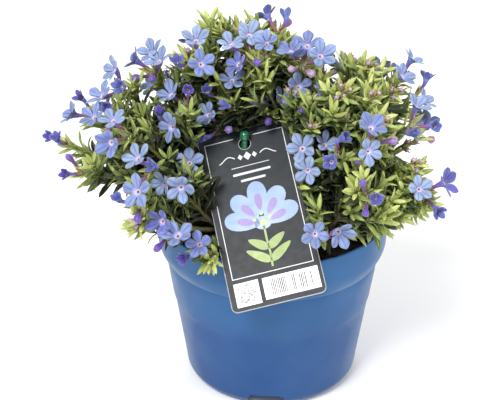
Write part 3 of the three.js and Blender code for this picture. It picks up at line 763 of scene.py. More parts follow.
def label_face_material():
    """Dark print; the colour gets darker towards the top edge."""
    shader = Shader("label_dark_print", Specular_IOR_Level=0.1)
    darker_to_top = shader.ramp(
        shader.height(160),
        (0.5, (62, 64, 67)), (0.62, (60, 62, 65)), (0.78, (57, 60, 63)), (0.88, (46, 50, 55)),
    )
    shader.colour(shader.shade(darker_to_top, shader.drift(0.25, 5.0, (0.3, 0.9), (0.7, 1.08))))
    shader.rough(0.3, 5.0, (0.35, 0.34), (0.7, 0.48))
    shader.grain(1.6, 3.0, 0.1, 0.03)
    return shader.material


def peg_material():
    shader = Shader("peg_plastic", Specular_IOR_Level=0.6, Coat_Weight=0.4, Coat_Roughness=0.15)
    shader.colour(shader.drift(0.5, 3.0, (0.3, (26, 90, 60)), (0.7, (42, 122, 84))))
    shader.rough(0.7, 3.0, (0.3, 0.2), (0.7, 0.34))
    return shader.material


def floor_material():
    shader = Shader("pale_floor", Roughness=0.9, Specular_IOR_Level=0.2)
    shader.colour(shader.drift(0.01, 2.0, (0.3, (246, 246, 246)), (0.7, (250, 250, 250))))
    return shader.material


# Pot
def taper_radius(height):
    return FOOT_RADIUS + (CREASE_RADIUS - FOOT_RADIUS) * height / CREASE_HEIGHT


def arc(centre, radius, start, end, steps):
    angles = np.radians(np.linspace(start, end, steps))
    return [(centre[0] + radius * math.cos(a), centre[1] + radius * math.sin(a)) for a in angles]


def inner_wall(gap):
    """The pot's inside from its floor up to its collar, or a line that keeps a gap from it."""
    return [
        (taper_radius(0) - CORNER_RADIUS - WALL - gap, POT_FLOOR + gap),
        (taper_radius(CORNER_RADIUS) - SHOULDER_STEP - WALL - gap, CORNER_RADIUS + POT_FLOOR),
        (CREASE_RADIUS - WALL - gap, CREASE_HEIGHT + 0.6),
        (COLLAR_RADIUS - WALL - 0.2 - gap, COLLAR_FOOT + 0.6),
    ]


def pot_outline():
    """Outside from the axis up to the rim, then the inside back down to the axis."""
    corner = (taper_radius(CORNER_RADIUS) - SHOULDER_STEP - CORNER_RADIUS, CORNER_RADIUS)
    flare = [np.array(point) for point in ((56.1, 70.5), (59.6, 75.6), (COLLAR_RADIUS, 80.0))]
    outside = [(0.5, 0.0), (20, 0.0)] + arc(corner, CORNER_RADIUS, -90, -6, 14)
    for height in np.linspace(14, SHOULDER_HEIGHT - 2.5, 6):
        outside.append((taper_radius(height) - SHOULDER_STEP, height))
    outside.append((taper_radius(SHOULDER_HEIGHT) - SHOULDER_STEP * 0.6, SHOULDER_HEIGHT - 0.6))
    for height in np.linspace(SHOULDER_HEIGHT + 1.2, CREASE_HEIGHT - 0.4, 5):
        outside.append((taper_radius(height), height))
    outside.append((CREASE_RADIUS - 0.15, CREASE_HEIGHT))
    for t in np.linspace(0, 1, 8):
        outside.append(tuple(flare[0] * (1 - t) ** 2 + flare[1] * 2 * t * (1 - t) + flare[2] * t ** 2))
    outside.append((RIM_RADIUS - 0.05, 88.0))
    rim = arc((RIM_RADIUS - LIP, POT_HEIGHT - LIP), LIP, 0, 180, 10)
    inside = [(RIM_INSIDE, COLLAR_FOOT + 8)] + inner_wall(0)[::-1] + [(0.5, POT_FLOOR)]
    return np.array(outside + rim + inside)


def revolve(heap, outline, sides, slot=0):
    """A closed body round Z. The outline starts and ends near the axis, at the bottom first."""
    angle = full_turn(sides)
    radius, height = outline[:, 0], outline[:, 1]
    points = np.stack([
        radius[:, None] * np.cos(angle)[None],
        radius[:, None] * np.sin(angle)[None],
        np.broadcast_to(height[:, None], (len(height), sides)),
    ], axis=-1)
    heap.tubes(points[None], np.zeros(3), slot)


def cut(piece, cutters):
    """Takes the cutters out of the piece, for good."""
    for cutter in cutters:
        modifier = piece.modifiers.new("cut", "BOOLEAN")
        modifier.operation = "DIFFERENCE"
        modifier.solver = "EXACT"
        modifier.object = cutter
    graph = bpy.context.evaluated_depsgraph_get()
    mesh = bpy.data.meshes.new_from_object(piece.evaluated_get(graph))
    piece.modifiers.clear()
    piece.data = mesh
    for cutter in cutters:
        bpy.data.objects.remove(cutter)


def prism(name, inner, outer, near, far, turn):
    """A cutter between two outlines in X and Z, the inner one at -near along Y, then turned about Z."""
    body = bmesh.new()
    first = [body.verts.new((x * MM, -near * MM, z * MM)) for x, z in inner]
    last = [body.verts.new((x * MM, -far * MM, z * MM)) for x, z in outer]
    body.faces.new(first[::-1])
    body.faces.new(last)
    for i in range(len(inner)):
        k = (i + 1) % len(inner)
        body.faces.new((first[i], first[k], last[k], last[i]))
    bmesh.ops.recalc_face_normals(body, faces=body.faces)
    bmesh.ops.rotate(body, matrix=Matrix.Rotation(turn, 3, "Z"), verts=body.verts)
    return body_piece(name, body)


def drain_hole(name, turn):
    heap = Heap()
    revolve(heap, np.array([(0.01, -2), (DRAIN_RADIUS, -2), (DRAIN_RADIUS, 9), (0.01, 9)]), 32)
    hole = heap.piece(name, [])
    place = Vector((0, -DRAIN_AT * MM, 0))
    place.rotate(Matrix.Rotation(turn, 3, "Z"))
    hole.data.transform(Matrix.Translation(place))
    return hole


def slot_outline(height):
    """The section of a slot under the pot, in X and Z, with eased corners."""
    half, top = CHANNEL_WIDTH / 2, CHANNEL_TOP / 2
    right = [(half + 1, -2), (half, 0), (half - 0.9, 0.5), (top + 0.6, height - 0.3), (top - 0.5, height)]
    return right + [(-x, z) for x, z in reversed(right)]


def make_pot(material):
    heap = Heap()
    revolve(heap, pot_outline(), POT_SIDES)
    pot = heap.piece("pot_shell", [material])
    outside = FOOT_RADIUS + 4
    cutters = []
    for index in range(CHANNELS):
        turn = math.radians(CHANNEL_TURN + 360 * index / CHANNELS)
        channel = slot_outline(CHANNEL_HEIGHT)
        cutters.append(prism(f"channel_cutter_{index}", channel, channel, CHANNEL_INNER, outside, turn))
        notch_ends = slot_outline(NOTCH_HEIGHT), slot_outline(NOTCH_MOUTH)
        cutters.append(prism(f"notch_cutter_{index}", *notch_ends, NOTCH_INNER, outside, turn))
        cutters.append(drain_hole(f"drain_cutter_{index}", turn))
    cut(pot, cutters)
    pot.data.polygons.foreach_set("use_smooth", np.ones(len(pot.data.polygons), bool))
    pot.data.set_sharp_from_angle(angle=math.radians(32))
    finish_piece(pot, "pot", "pot")


# Soil
def lumps(x, y):
    """Height of the soil over its level, from a few waves of different lengths."""
    height = 0.9 * np.sin(0.21 * x + 1) * np.cos(0.17 * y) + 0.6 * np.sin(0.11 * x - 0.3 * y)
    height += 0.35 * np.sin(0.9 * x + 0.7 * y) + 0.3 * np.cos(1.1 * y - 0.6 * x + 2)
    return height - 0.2


def make_soil(material):
    """The compost as one lumpy body, with crumbs lying on it."""
    edge, middle = RIM_INSIDE - SOIL_GAP, 0.4
    lower = [(middle, POT_FLOOR + SOIL_GAP)] + inner_wall(SOIL_GAP)
    outline = np.array(lower + [(radius, SOIL_LEVEL) for radius in np.linspace(edge, middle, 46)])
    angle = full_turn(144)
    x = outline[:, :1] * np.cos(angle)[None]
    y = outline[:, :1] * np.sin(angle)[None]
    z = np.broadcast_to(outline[:, 1:], x.shape).copy()
    grain = rng.normal(0, 0.22, x.shape)
    top = slice(len(lower), None)
    z[top] += lumps(x[top], y[top]) + grain[top]
    heap = Heap()
    heap.tubes(np.stack([x, y, z], axis=-1)[None], np.zeros(3))
    crumbs = crumb_points(edge * 0.97)
    heap.tubes(crumbs[crumbs[..., 2].max(axis=(1, 2)) < SOIL_LEVEL + 4], np.zeros(3))
    finish_piece(heap.piece("soil_compost", [material]), "soil", "soil")


def crumb_points(reach):
    """Crumbs of any turn and size, strewn evenly over the soil."""
    radius = reach * np.sqrt(rng.random(CRUMBS))
    bearing = rng.random(CRUMBS) * 2 * math.pi
    size = rng.uniform(0.35, 1.3, CRUMBS)
    x, y = radius * np.cos(bearing), radius * np.sin(bearing)
    place = np.stack([x, y, SOIL_LEVEL + lumps(x, y) + size * 0.3], axis=-1)
    axis = unit(rng.normal(size=(CRUMBS, 3)))
    steps = np.array([-1, -0.6, 0.1, 0.7, 1.0])
    girth = np.array([0.35, 0.9, 1.0, 0.75, 0.25])
    centres = place[:, None] + axis[:, None] * steps[None, :, None] * size[:, None, None] * 0.8
    radii = girth[None] * size[:, None] * rng.uniform(0.55, 1.0, (CRUMBS, len(steps)))
    return tube_points(centres, radii, 4)


# Label
def label_axes():
    turn, lean = math.radians(LABEL_TURN), math.radians(LABEL_LEAN)
    face = np.array([math.sin(turn) * math.cos(lean), -math.cos(turn) * math.cos(lean), math.sin(lean)])
    level = np.array([math.cos(turn), math.sin(turn), 0.0])
    right = between(level, np.cross(face, level), LABEL_ROLL)
    return right, np.cross(face, right), face


LABEL_RIGHT, LABEL_UP, LABEL_FACE = label_axes()


def on_label(points, height):
    points = np.asarray(points, float)
    flat = points[:, :1] * LABEL_RIGHT + points[:, 1:] * LABEL_UP
    return LABEL_HOLE + flat + LABEL_FACE * height


def label_coordinates(points):
    offset = points - LABEL_HOLE
    return offset @ LABEL_RIGHT, offset @ LABEL_UP, offset @ LABEL_FACE


def rounded(left, right, bottom, top, radius, steps=8):
    corners = [(right - radius, bottom + radius, -90), (right - radius, top - radius, 0),
               (left + radius, top - radius, 90), (left + radius, bottom + radius, 180)]
    points = []
    for x, y, start in corners:
        points += arc((x, y), radius, start, start + 90, steps)
    return points


def rectangle(left, foot, right, top):
    return [(left, foot), (right, foot), (right, top), (left, top)]


class Print:
    """Flat shapes on the label, each a thin closed plate between the same two levels."""

    def __init__(self, name, bottom, top):
        self.name, self.bottom, self.top = name, bottom, top
        self.body = bmesh.new()

    def plate(self, outline, hole=None, lowered=0.0):
        edges = []
        for loop in [outline] + ([hole] if hole else []):
            verts = [self.body.verts.new(point * MM) for point in on_label(loop, self.bottom)]
            edges += [self.body.edges.new((a, b)) for a, b in zip(verts, verts[1:] + verts[:1])]
        made = bmesh.ops.triangle_fill(self.body, use_beauty=True, use_dissolve=False, edges=edges)
        faces = [item for item in made["geom"] if isinstance(item, bmesh.types.BMFace)]
        raised = bmesh.ops.extrude_face_region(self.body, geom=faces)
        verts = [item for item in raised["geom"] if isinstance(item, bmesh.types.BMVert)]
        rise = LABEL_FACE * (self.top - lowered - self.bottom) * MM
        bmesh.ops.translate(self.body, verts=verts, vec=Vector(rise))

    def finish(self, material, *nodes):
        bmesh.ops.recalc_face_normals(self.body, faces=self.body.faces)
        finish_piece(body_piece(self.name, self.body, material), "label", *nodes)


def ellipse(centre, long_half, short_half, turn, steps=20, point=0.0):
    """An oval outline. With point above 0 its far end narrows, as a leaf or drop does."""
    angles = full_turn(steps)
    x = long_half * np.cos(angles)
    y = short_half * np.sin(angles) * (1 - point * np.cos(angles))
    c, s = math.cos(math.radians(turn)), math.sin(math.radians(turn))
    return np.stack([centre[0] + x * c - y * s, centre[1] + x * s + y * c], axis=-1)


def band(points, width):
    """The outline of a thin line through the points."""
    points = np.asarray(points, float)
    tangent = unit(np.gradient(points, axis=0))
    side = np.stack([-tangent[:, 1], tangent[:, 0]], axis=-1) * width / 2
    return np.concatenate([points - side, (points + side)[::-1]])


# The levels of the label's layers, from its middle plane, and the middle of its print
LABEL_FRONT = LABEL_THICKNESS / 2
FACE_FOOT = LABEL_FRONT - 2 * FILM
INK = (LABEL_FRONT - FILM, LABEL_FRONT - FILM / 2)
SECOND_INK = (LABEL_FRONT - FILM / 2, LABEL_FRONT)
PRINT_MIDDLE = 0.5


def label_outline(inset):
    """The label's edge and its hole, with so much left bare round both."""
    half = LABEL_WIDTH / 2
    edge = rounded(inset - half, half - inset, inset - LABEL_BELOW, LABEL_ABOVE - inset, LABEL_CORNER - inset)
    return edge, arc((0, 0), LABEL_HOLE_RADIUS + inset, 360, 11.25, 31)


def print_lines():
    """A frame that is open at the hole, and inside it an ornament, a rule and two bars."""
    lines = Print("label_lines", *INK)
    left, foot, right, top, line, opening = -20.0, -67.4, 20.0, 4.0, 0.42, 5.0
    lines.plate([(left, foot), (left + line, foot + line), (left + line, top), (left, top)])
    lines.plate([(right - line, foot + line), (right, foot), (right, top), (right - line, top)])
    lines.plate([(left, foot), (right, foot), (right - line, foot + line), (left + line, foot + line)])
    for start, end in ((left + line, -opening), (opening, right - line)):
        lines.plate(rectangle(start, top - line, end, top))
    lines.plate(rectangle(-9.0, -11.8, 10.0, -11.45))
    level = -6.6
    for turn in (-1, 0, 1):
        x, size = 3.6 * turn, 1.9 - 0.6 * abs(turn)
        lines.plate([(x - size, level), (x, level - size * 1.2), (x + size, level), (x, level + size * 1.2)])
    wave = [(6.4 + 8 * t, level + 1.4 * math.sin(math.pi * t * 1.4)) for t in np.linspace(0, 1, 12)]
    for side in (-1, 1):
        lines.plate(band([(side * x, y) for x, y in wave], 0.5)[::-side])
    for foot, width in ((-15.3, 19.0), (-19.0, 12.5)):
        left, right = PRINT_MIDDLE - width / 2, PRINT_MIDDLE + width / 2
        lines.plate(rounded(left, right, foot - 0.6, foot + 0.6, 0.55, 5))
    lines.finish(card_material("label_pale_print", (206, 208, 210), (226, 227, 228)))


def print_panels():
    panels = Print("label_panels", *INK)
    panels.plate(rectangle(-20.0, -81.3, -8.0, -69.5))
    panels.plate(rectangle(-6.0, -80.5, 21.0, -69.7))
    panels.finish(card_material("label_white_print", (246, 246, 246), (255, 255, 255)))


def print_marks():
    """Scattered squares on one panel and upright bars on the other. They stand for nothing."""
    marks = Print("label_marks", *SECOND_INK)
    step = 0.6
    for row in range(16):
        for column in range(16):
            if rng.random() < 0.42:
                x, y = -18.8 + step * column, -80.2 + step * row
                size = step * rng.uniform(0.7, 0.95)
                marks.plate(rectangle(x, y, x + size, y + size))
    for start, bars in ((-2.2, 9), (8.0, 2), (11.6, 4), (17.0, 1)):
        for index in range(bars):
            x, width = start + 0.84 * index, rng.uniform(0.36, 0.6)
            marks.plate(rectangle(x, -78.8, x + width, -71.2))
    marks.finish(card_material("label_dark_marks", (34, 34, 36), (52, 52, 54)))


def print_sprig():
    """A plain upright sprig: paired leaves on a straight stem."""
    greens = Print("label_sprig_green", *INK)
    greens.plate(band([(0.5, -65), (0.8, -58), (0.5, -51), (0.5, -44)], 1.0))
    for side in (-1, 1):
        for foot, length in ((-62.0, 6.6), (-55.5, 5.4)):
            centre = (PRINT_MIDDLE + side * length * 0.82, foot + length * 0.55)
            greens.plate(ellipse(centre, length, 2.1, 90 - side * 56, point=0.35))
    greens.finish(card_material("label_green_print", (118, 146, 66), (156, 176, 92)))


def print_flower():
    """A fan of five drops over the sprig, with a stripe in each and dots at its foot."""
    blues = Print("label_sprig_blue", *INK)
    purples = Print("label_sprig_purple", *SECOND_INK)
    middle = -43.0

    def outwards(angle, reach):
        return PRINT_MIDDLE + reach * math.cos(angle), middle + reach * math.sin(angle)

    for index, turn in enumerate(np.linspace(-72, 72, 5)):
        reach = 13.5 - 1.6 * abs(index - 2)
        angle = math.radians(90 - turn)
        drop = ellipse(outwards(angle, reach), 8.8, 4.6, 90 - turn, 24, point=-0.3)
        blues.plate(drop, lowered=FILM / 8 * index / 5)
        purples.plate(ellipse(outwards(angle, reach - 2), 4.4, 1.8, 90 - turn, 16, point=-0.3))
    blues.plate(ellipse((PRINT_MIDDLE, middle + 0.5), 4.2, 3.4, 0, 24))
    blues.finish(card_material("label_blue_print", (122, 150, 196), (164, 188, 220)))
    purples.finish(card_material("label_purple_print", (132, 108, 178), (156, 134, 196)))

    yellows = Print("label_sprig_yellow", *SECOND_INK)
    for x, y, size in ((0.5, 0.5, 1.5), (-3.4, 2.6, 0.8), (4.4, 2.6, 0.8), (0.5, 5.2, 0.8)):
        yellows.plate(ellipse((x, middle + y), size, size, 0, 16))
    yellows.finish(card_material("label_yellow_print", (214, 204, 96), (232, 222, 130)))


def make_label():
    card = Print("label_card", -LABEL_FRONT, FACE_FOOT)
    card.plate(*label_outline(0))
    card.finish(card_material("label_cut_edge", (132, 134, 137), (158, 160, 162)), "plant_label")
    face = Print("label_front", FACE_FOOT, LABEL_FRONT - FILM)
    face.plate(*label_outline(CUT_EDGE))
    face.finish(label_face_material())
    print_lines()
    print_panels()
    print_marks()
    print_sprig()
    print_flower()


# Peg
def make_peg(material):
    def above(height):
        return LABEL_HOLE[2] + height

    foot = SOIL_LEVEL - PEG_DEPTH
    outline = [(0.1, foot), (PEG_RADIUS * 0.5, foot + PEG_POINT / 2), (PEG_RADIUS, foot + PEG_POINT)]
    outline += [(PEG_RADIUS, above(height)) for height in (-30.0, PEG_NECK_TOP)]
    outline += arc((PEG_HEAD - PEG_EASE, above(PEG_HEAD_FOOT)), PEG_EASE, -60, 0, 4)
    outline += arc((PEG_HEAD - PEG_ROUND, above(PEG_HEAD_TOP)), PEG_ROUND, 0, 45, 5)
    dome_foot, dome_rise = above(PEG_HEAD_TOP + PEG_EASE), PEG_DOME - PEG_HEAD_TOP - PEG_EASE
    for angle in np.linspace(0.35, 1.5, 7):
        outline.append((PEG_HEAD * math.cos(angle) * 0.86, dome_foot + dome_rise * math.sin(angle)))
    heap = Heap()
    revolve(heap, np.array(outline), 48)
    heap.points[0] = heap.points[0] + [LABEL_HOLE[0], LABEL_HOLE[1], 0.0]
    peg = heap.piece("peg_pin", [material], sharp=40)
    finish_piece(peg, "peg", "label_peg")


# Where the plant's shoots and flowers are: the same rules as for the solids
Tip = namedtuple("Tip", "point facing outwards")
Grown = namedtuple("Grown", "stem shoot tip path flowers buds")


def shoot_tip(shoot):
    bearing, rise, reach = shoot.to
    outwards = direction(bearing, rise)
    front = -1 if math.sin(math.radians(bearing)) < 0.2 else 1
    light = np.array([shoot.look[0], front * FACE_LEAN, FACE_LIFT + shoot.look[1]])
    facing = unit(outwards + light)
    held = FLOWER_HELD if shoot.open else BUD_HELD
    return Tip(CROWN + outwards * reach - facing * held, facing, outwards)


def trunk_controls(stem):
    foot = direction(stem.foot[0], 0) * stem.foot[1]
    mean = unit(sum(direction(*shoot.to[:2]) for shoot in stem.shoots))
    return [
        foot + UP * (SOIL_LEVEL + 1),
        foot + UP * (SOIL_LEVEL + TRUNK_RISE) + mean * TRUNK_RISE / 2,
        CROWN + mean * TRUNK_REACH + foot * 0.35,
    ]


def shoot_path(trunk, share, tip, swing):
    fork, end = bezier(trunk, [FORK_FROM, 1.0])
    start = fork + (end - fork) * share
    span = np.linalg.norm(tip.point - start)
    sideways, upwards = square_to(tip.outwards)
    bend = sideways * swing[0] + upwards * swing[1]
    return Path([
        start,
        start + tip.outwards * span * 0.3 + bend,
        tip.point - tip.facing * span * 0.28 + bend,
        tip.point,
    ])


def spray_blooms(tip, shoot):
    """The open flowers of a shoot as (root, face, axis), and then its buds as (root, end, axis)."""
    frame_axes = square_to(tip.facing)
    sides = max(shoot.open + shoot.buds, 3)
    foot = tip.point + tip.facing * HUB_GAP
    flowers, buds = [], []
    for j in range(shoot.open + shoot.buds):
        outwards = between(*frame_axes, shoot.roll + 360 * j / sides)
        root = foot + tip.facing * ROOT_AHEAD + outwards * ROOT_ASIDE
        if j < shoot.open:
            face = foot + tip.facing * (FLOWER_HELD + STEPS[j]) + outwards * SPREAD[shoot.open]
            axis = between(tip.facing, outwards, FACE_TILT if shoot.open > 1 else 0)
            flowers.append((root, face, axis))
        else:
            axis = between(tip.facing, outwards, BUD_TILT)
            buds.append((root, root + axis * (BUD_HELD + BUD_REACH), axis))
    return flowers, buds


# The solids' own box, a little smaller on every side
LOWEST = np.array(CAD_BOX[0]) / MM + BOX_MARGIN
HIGHEST = np.array(CAD_BOX[1]) / MM - BOX_MARGIN


def into_box(points):
    """The shift that brings all the points back inside the solids' own box."""
    flat = points.reshape(-1, 3)
    return np.maximum(LOWEST - flat.min(axis=0), 0) + np.minimum(HIGHEST - flat.max(axis=0), 0)


def near_label(points):
    """True for each point that is in the label, or in the view of its face. Leaves may cover a strip
    along the face's edges, which is wider where a tuft hangs over its left side."""
    x, y, height = label_coordinates(points)
    half = LABEL_WIDTH / 2
    beside = np.abs(x) < half + LABEL_CLEAR
    beside &= (y > -LABEL_BELOW - LABEL_CLEAR) & (y < LABEL_ABOVE + LABEL_CLEAR)
    x, y = x + LABEL_SIGHT[0] * height, y + LABEL_SIGHT[1] * height
    left = np.where((y < TUFT_TOP) & (y > TUFT_FOOT), TUFT_DEPTH, LABEL_COVERED) - half
    before = (x > left) & (x < half - LABEL_COVERED)
    before &= (y > LABEL_COVERED - LABEL_BELOW) & (y < LABEL_ABOVE - LABEL_COVERED_TOP)
    return (beside & (np.abs(height) < LABEL_CLEAR_THICK)) | (before & (height > 0))


def near_pot(points):
    """True for each point in the pot's wall or the soil, or over the stretch of rim that stays bare."""
    x, y, level = points[..., 0], points[..., 1], points[..., 2]
    radius, bearing = np.hypot(x, y), np.degrees(np.arctan2(y, x))
    within = radius < RIM_RADIUS + WALL_OUTSIDE
    at_wall = (level < POT_HEIGHT + WALL_OVER) & (radius > RIM_RADIUS - WALL_INSIDE) & within
    in_soil = (level < SOIL_LEVEL + SOIL_OVER) & within
    at_bare = (bearing > BARE_RIM[0]) & (bearing < BARE_RIM[1]) & (radius > RIM_RADIUS - BARE_INSIDE)
    return at_wall | in_soil | (at_bare & (level < POT_HEIGHT + BARE_OVER))


def in_hollow(points):
    inside = np.zeros(points.shape[:-1], bool)
    for start, end, radius in HOLLOWS:
        start, line = np.array(start), np.array(end) - np.array(start)
        share = np.clip((points - start) @ line / (line @ line), 0, 1)
        nearest = start + share[..., None] * line
        inside |= np.linalg.norm(points - nearest, axis=-1) < radius
    return inside


class Clear:
    """Knows where nothing may grow: at the label and the pot, in the hollows, outside the solids' box,
    in front of a flower, and outside the plant's own outline, which its shoots draw."""

    def __init__(self, flowers):
        self.flowers = flowers
        shoots = [shoot for stem in STEMS for shoot in stem.shoots]
        self.headings = np.array([direction(*shoot.to[:2]) for shoot in shoots])
        self.reaches = np.array([shoot.to[2] for shoot in shoots])

    def free(self, points, margin):
        """points is (copies, samples, 3). True for each copy that lies free, no further outside the
        outline than the margin."""
        bad = near_label(points) | near_pot(points) | in_hollow(points)
        bad |= (points < LOWEST).any(axis=-1) | (points > HIGHEST).any(axis=-1)
        return ~bad.any(axis=1) & (self.depth(points) > -margin).all(axis=1) & self.behind_flowers(points)

    def depth(self, points):
        """How far inside the outline points are. The outline dips between shoots that are far apart."""
        offset = points - CROWN
        distance = np.linalg.norm(offset, axis=-1)
        angles = np.arccos(np.clip(offset / distance[..., None] @ self.headings.T, -1, 1))
        limit = (self.reaches * np.cos(np.minimum(OUTLINE_DIP * angles, math.pi / 2))).max(axis=-1)
        return np.maximum(limit, OUTLINE_CORE) - distance

    def behind_flowers(self, points, reach=6.5, before=6.0, behind=2.0):
        """True for each copy that hides no flower's face."""
        hidden = np.zeros(len(points), bool)
        for _, face, axis in self.flowers:
            offset = points - face
            height = offset @ axis
            across = np.linalg.norm(offset - height[..., None] * axis, axis=-1)
            hidden |= ((height > -behind) & (height < before) & (across < reach)).any(axis=1)
        return ~hidden


class Foliage:
    """The leaves of one stem, kept as rows until they are all made at once."""

    def __init__(self):
        self.rows = []

    def dress(self, path, leafy, size, tip_age):
        """Leaves along the outer stretch of a path, in a spiral, young and close at its tip. Each turns
        from its start angle to its end angle off the path."""
        place = path.length - 0.6
        index = 0
        spin = rng.uniform(0, 360)
        while place > path.length - leafy and place > 2:
            grown = min(1.0, (path.length - place) / GROWN_AT)
            bearing = spin + GOLDEN_ANGLE * index + rng.normal(0, 8)
            tangent = path.tangent([place])[0]
            out = between(*square_to(tangent), bearing)
            length = size * (0.5 + 0.5 * grown ** 0.6) * rng.uniform(0.8, 1.14)
            age_and_shade = np.clip(tip_age * (1.0 - 1.1 * grown ** 0.75) + rng.normal(0.32, 0.13), 0, 1)
            start, end = (young + added * grown + rng.normal(0, spread)
                          for young, added, spread in (FOOT_TURN, TIP_TURN))
            root = path.point([place])[0] + out * 0.5
            width = LEAF_HALF_WIDTH * (0.7 + 0.3 * grown) * rng.uniform(0.85, 1.15)
            self.rows.append((root, tangent, out, length, width, start, end, rng.normal(0, 22), age_and_shade))
            near = LEAF_SPACING * (0.5 if index < 4 else 0.55 + 0.45 * grown)
            place -= near * rng.uniform(0.8, 1.2)
            index += 1

    def build(self, heap, clear):
        """Makes the leaves that lie free. Those deep inside the plant get painted shade: their age mark is
        lowered, which darkens their colour.
        """
        *shape, age_and_shade = (np.array(column) for column in zip(*self.rows))
        points = blades(LEAF, *shape)
        spine = points[:, 2:, [1, 3]].reshape(len(points), -1, 3)
        keep = clear.free(spine, LEAF_MARGIN)
        keep &= (points > LOWEST).all(axis=(1, 2, 3)) & (points < HIGHEST).all(axis=(1, 2, 3))
        shaded = np.maximum(clear.depth(spine).mean(axis=1) - SHADE_FROM, 0)
        age_and_shade = np.clip(age_and_shade - LEAF_SHADE * shaded, 0, 1)
        heap.tubes(points[keep], blade_marks(LEAF, age_and_shade)[keep], LEAVES)


def add_wood(heap, path, foot_radius, tip_radius, from_share):
    """A slightly knotty twig. Its marks run from a share, 0 for bark, to 1 for a green tip."""
    rings = 16
    at = np.linspace(0, path.length, rings)
    radii = np.linspace(foot_radius, tip_radius, rings)[None]
    kinks = 1 + 0.08 * rng.normal(size=(1, rings))
    points = tube_points(path.point(at)[None], radii * kinks, WOOD_SIDES)
    marks = ring_marks(1, np.linspace(from_share, 1, rings), WOOD_SIDES, np.zeros(1))
    heap.tubes(points, marks, WOOD)


def side_twigs(path, foliage, heap, clear):
    """Short leafy side shoots that fill the plant between its main shoots."""
    for share in np.linspace(0.16, 0.86, TWIGS) + rng.uniform(-0.05, 0.05, TWIGS):
        place = path.length * share
        start, tangent = path.point([place])[0], path.tangent([place])[0]
        outwards = unit(start - (CROWN - UP * 20))
        side = between(*square_to(tangent), rng.uniform(0, 360))
        heading = unit(tangent * 0.55 + side * 0.62 + outwards * 0.35 + UP * 0.2)
        length = rng.uniform(14, 27) * (1.15 - 0.35 * share)
        twig = Path([start, start + (tangent + side * 0.6) * length * 0.35, start + heading * length], 20)
        if clear.free(twig.points[None, 6:], TWIG_MARGIN)[0]:
            add_wood(heap, twig, 0.75, 0.45, 0.55)
            foliage.dress(twig, length * 0.9, rng.uniform(11.5, 15.0), rng.uniform(0.4, 0.95))


# Flowers
FLOWER_TUBE = [  # share of the way from the root to the mouth, and radius
    (0.0, 0.45), (0.1, 0.55), (0.22, 0.95), (0.4, 0.85), (0.6, 1.0), (0.78, 1.35), (0.92, 1.95), (1.0, 2.7),
]
THROAT_INSIDE = [(0.985, 2.3), (0.93, 1.15), (0.9, 0.6), (0.86, 0.25)]
THROAT_MARKS = [1.06, 1.2, 1.36, 1.5]
THROAT_SUNK = 1.7
MOUTH_RISE = 0.9
PETAL_LENGTH, PETAL_WIDTH = 7.2, 2.6
CUPS = [20, 60]
FLOWER_SIDES = 15


def rings_about(centres, tangents, radii, around):
    """Rings square to their tangents. They may double back, as down inside a throat."""
    level = square_to(tangents[-1])[0]
    side = unit(level - tangents * (tangents @ level)[:, None])
    normal = np.cross(tangents, side)
    angle = full_turn(around)
    across = np.cos(angle)[None, :, None] * side[:, None]
    up = np.sin(angle)[None, :, None] * normal[:, None]
    return centres[:, None] + (across + up) * radii[:, None, None]


def add_flower(heap, root, face, axis, tone, size, cup):
    """One funnel-shaped flower: five lobes that open to about the cup angle, and its tube and calyx."""
    throat = face - axis * THROAT_SUNK
    level, rising = square_to(axis)
    spin = rng.uniform(0, 72)
    outs = np.array([between(level, rising, spin + 72 * j + rng.normal(0, 3)) for j in range(5)])
    roots = throat + outs * 1.25 * size + axis * 0.15
    lobes = blades(PETAL, roots, np.broadcast_to(axis, outs.shape), outs,
                   PETAL_LENGTH * size * rng.uniform(0.93, 1.06, 5),
                   PETAL_WIDTH * size * np.interp(cup, CUPS, [0.8, 1.0]) * rng.uniform(0.92, 1.08, 5),
                   cup - 22 + rng.normal(0, 3, 5), cup + 14 + rng.normal(0, 7, 5), rng.normal(0, 9, 5))
    shift = into_box(lobes)
    heap.tubes(lobes + shift, blade_marks(PETAL, np.full(5, tone)), PETALS)
    add_flower_tube(heap, root, throat + shift + axis * MOUTH_RISE * size, axis, tone, size, cup)


def add_flower_tube(heap, root, mouth, axis, tone, size, cup):
    """A tube with a sunken eye: it widens to the mouth and doubles back down inside."""
    span = np.linalg.norm(mouth - root)
    path = Path([root, root + axis * span * 0.25, mouth - axis * span * 0.4, mouth], 24)
    shares, radii = np.array(FLOWER_TUBE + THROAT_INSIDE).T
    centres, tangents = path.point(shares * path.length), path.tangent(shares * path.length)
    scale = np.where(np.arange(len(radii)) > 2, size, 1.0)
    flare = np.where(radii > 1.9, np.interp(cup, CUPS, [0.7, 1.0]), 1.0)
    points = rings_about(centres, tangents, radii * scale * flare, FLOWER_SIDES)
    along = np.concatenate([np.linspace(0, 1, len(FLOWER_TUBE)), THROAT_MARKS])
    heap.tubes(points[None], ring_marks(1, along, FLOWER_SIDES, np.array([tone])), TUBES)
    add_calyx(heap, centres[1], tangents[1], 5.2, 0.62, rng.uniform(0, 1))


def add_calyx(heap, centre, axis, length, width, kind):
    """Five narrow sepals round a stalk, of one kind from 0 green to 1 red."""
    level, rising = square_to(axis)
    outs = np.array([between(level, rising, 72 * j + 20) for j in range(5)])
    sepals = blades(SEPAL, centre + outs * CALYX_RADIUS, np.broadcast_to(axis, outs.shape), outs,
                    length * rng.uniform(0.85, 1.1, 5), width, 14, rng.uniform(8, 26, 5))
    heap.tubes(sepals, blade_marks(SEPAL, np.full(5, kind)), SEPALS)


CALYX_RADIUS = 0.4
BUD_GIRTH = 2.3
BUD_SHAPE = [  # share of the way to the bud's tip, and radius
    (0.0, 0.45), (0.16, 0.6), (0.36, 0.72), (0.52, 0.85), (0.63, 1.2), (0.73, 1.8), (0.84, 2.05), (0.93, 1.6),
    (0.98, 0.8), (1.0, 0.2),
]


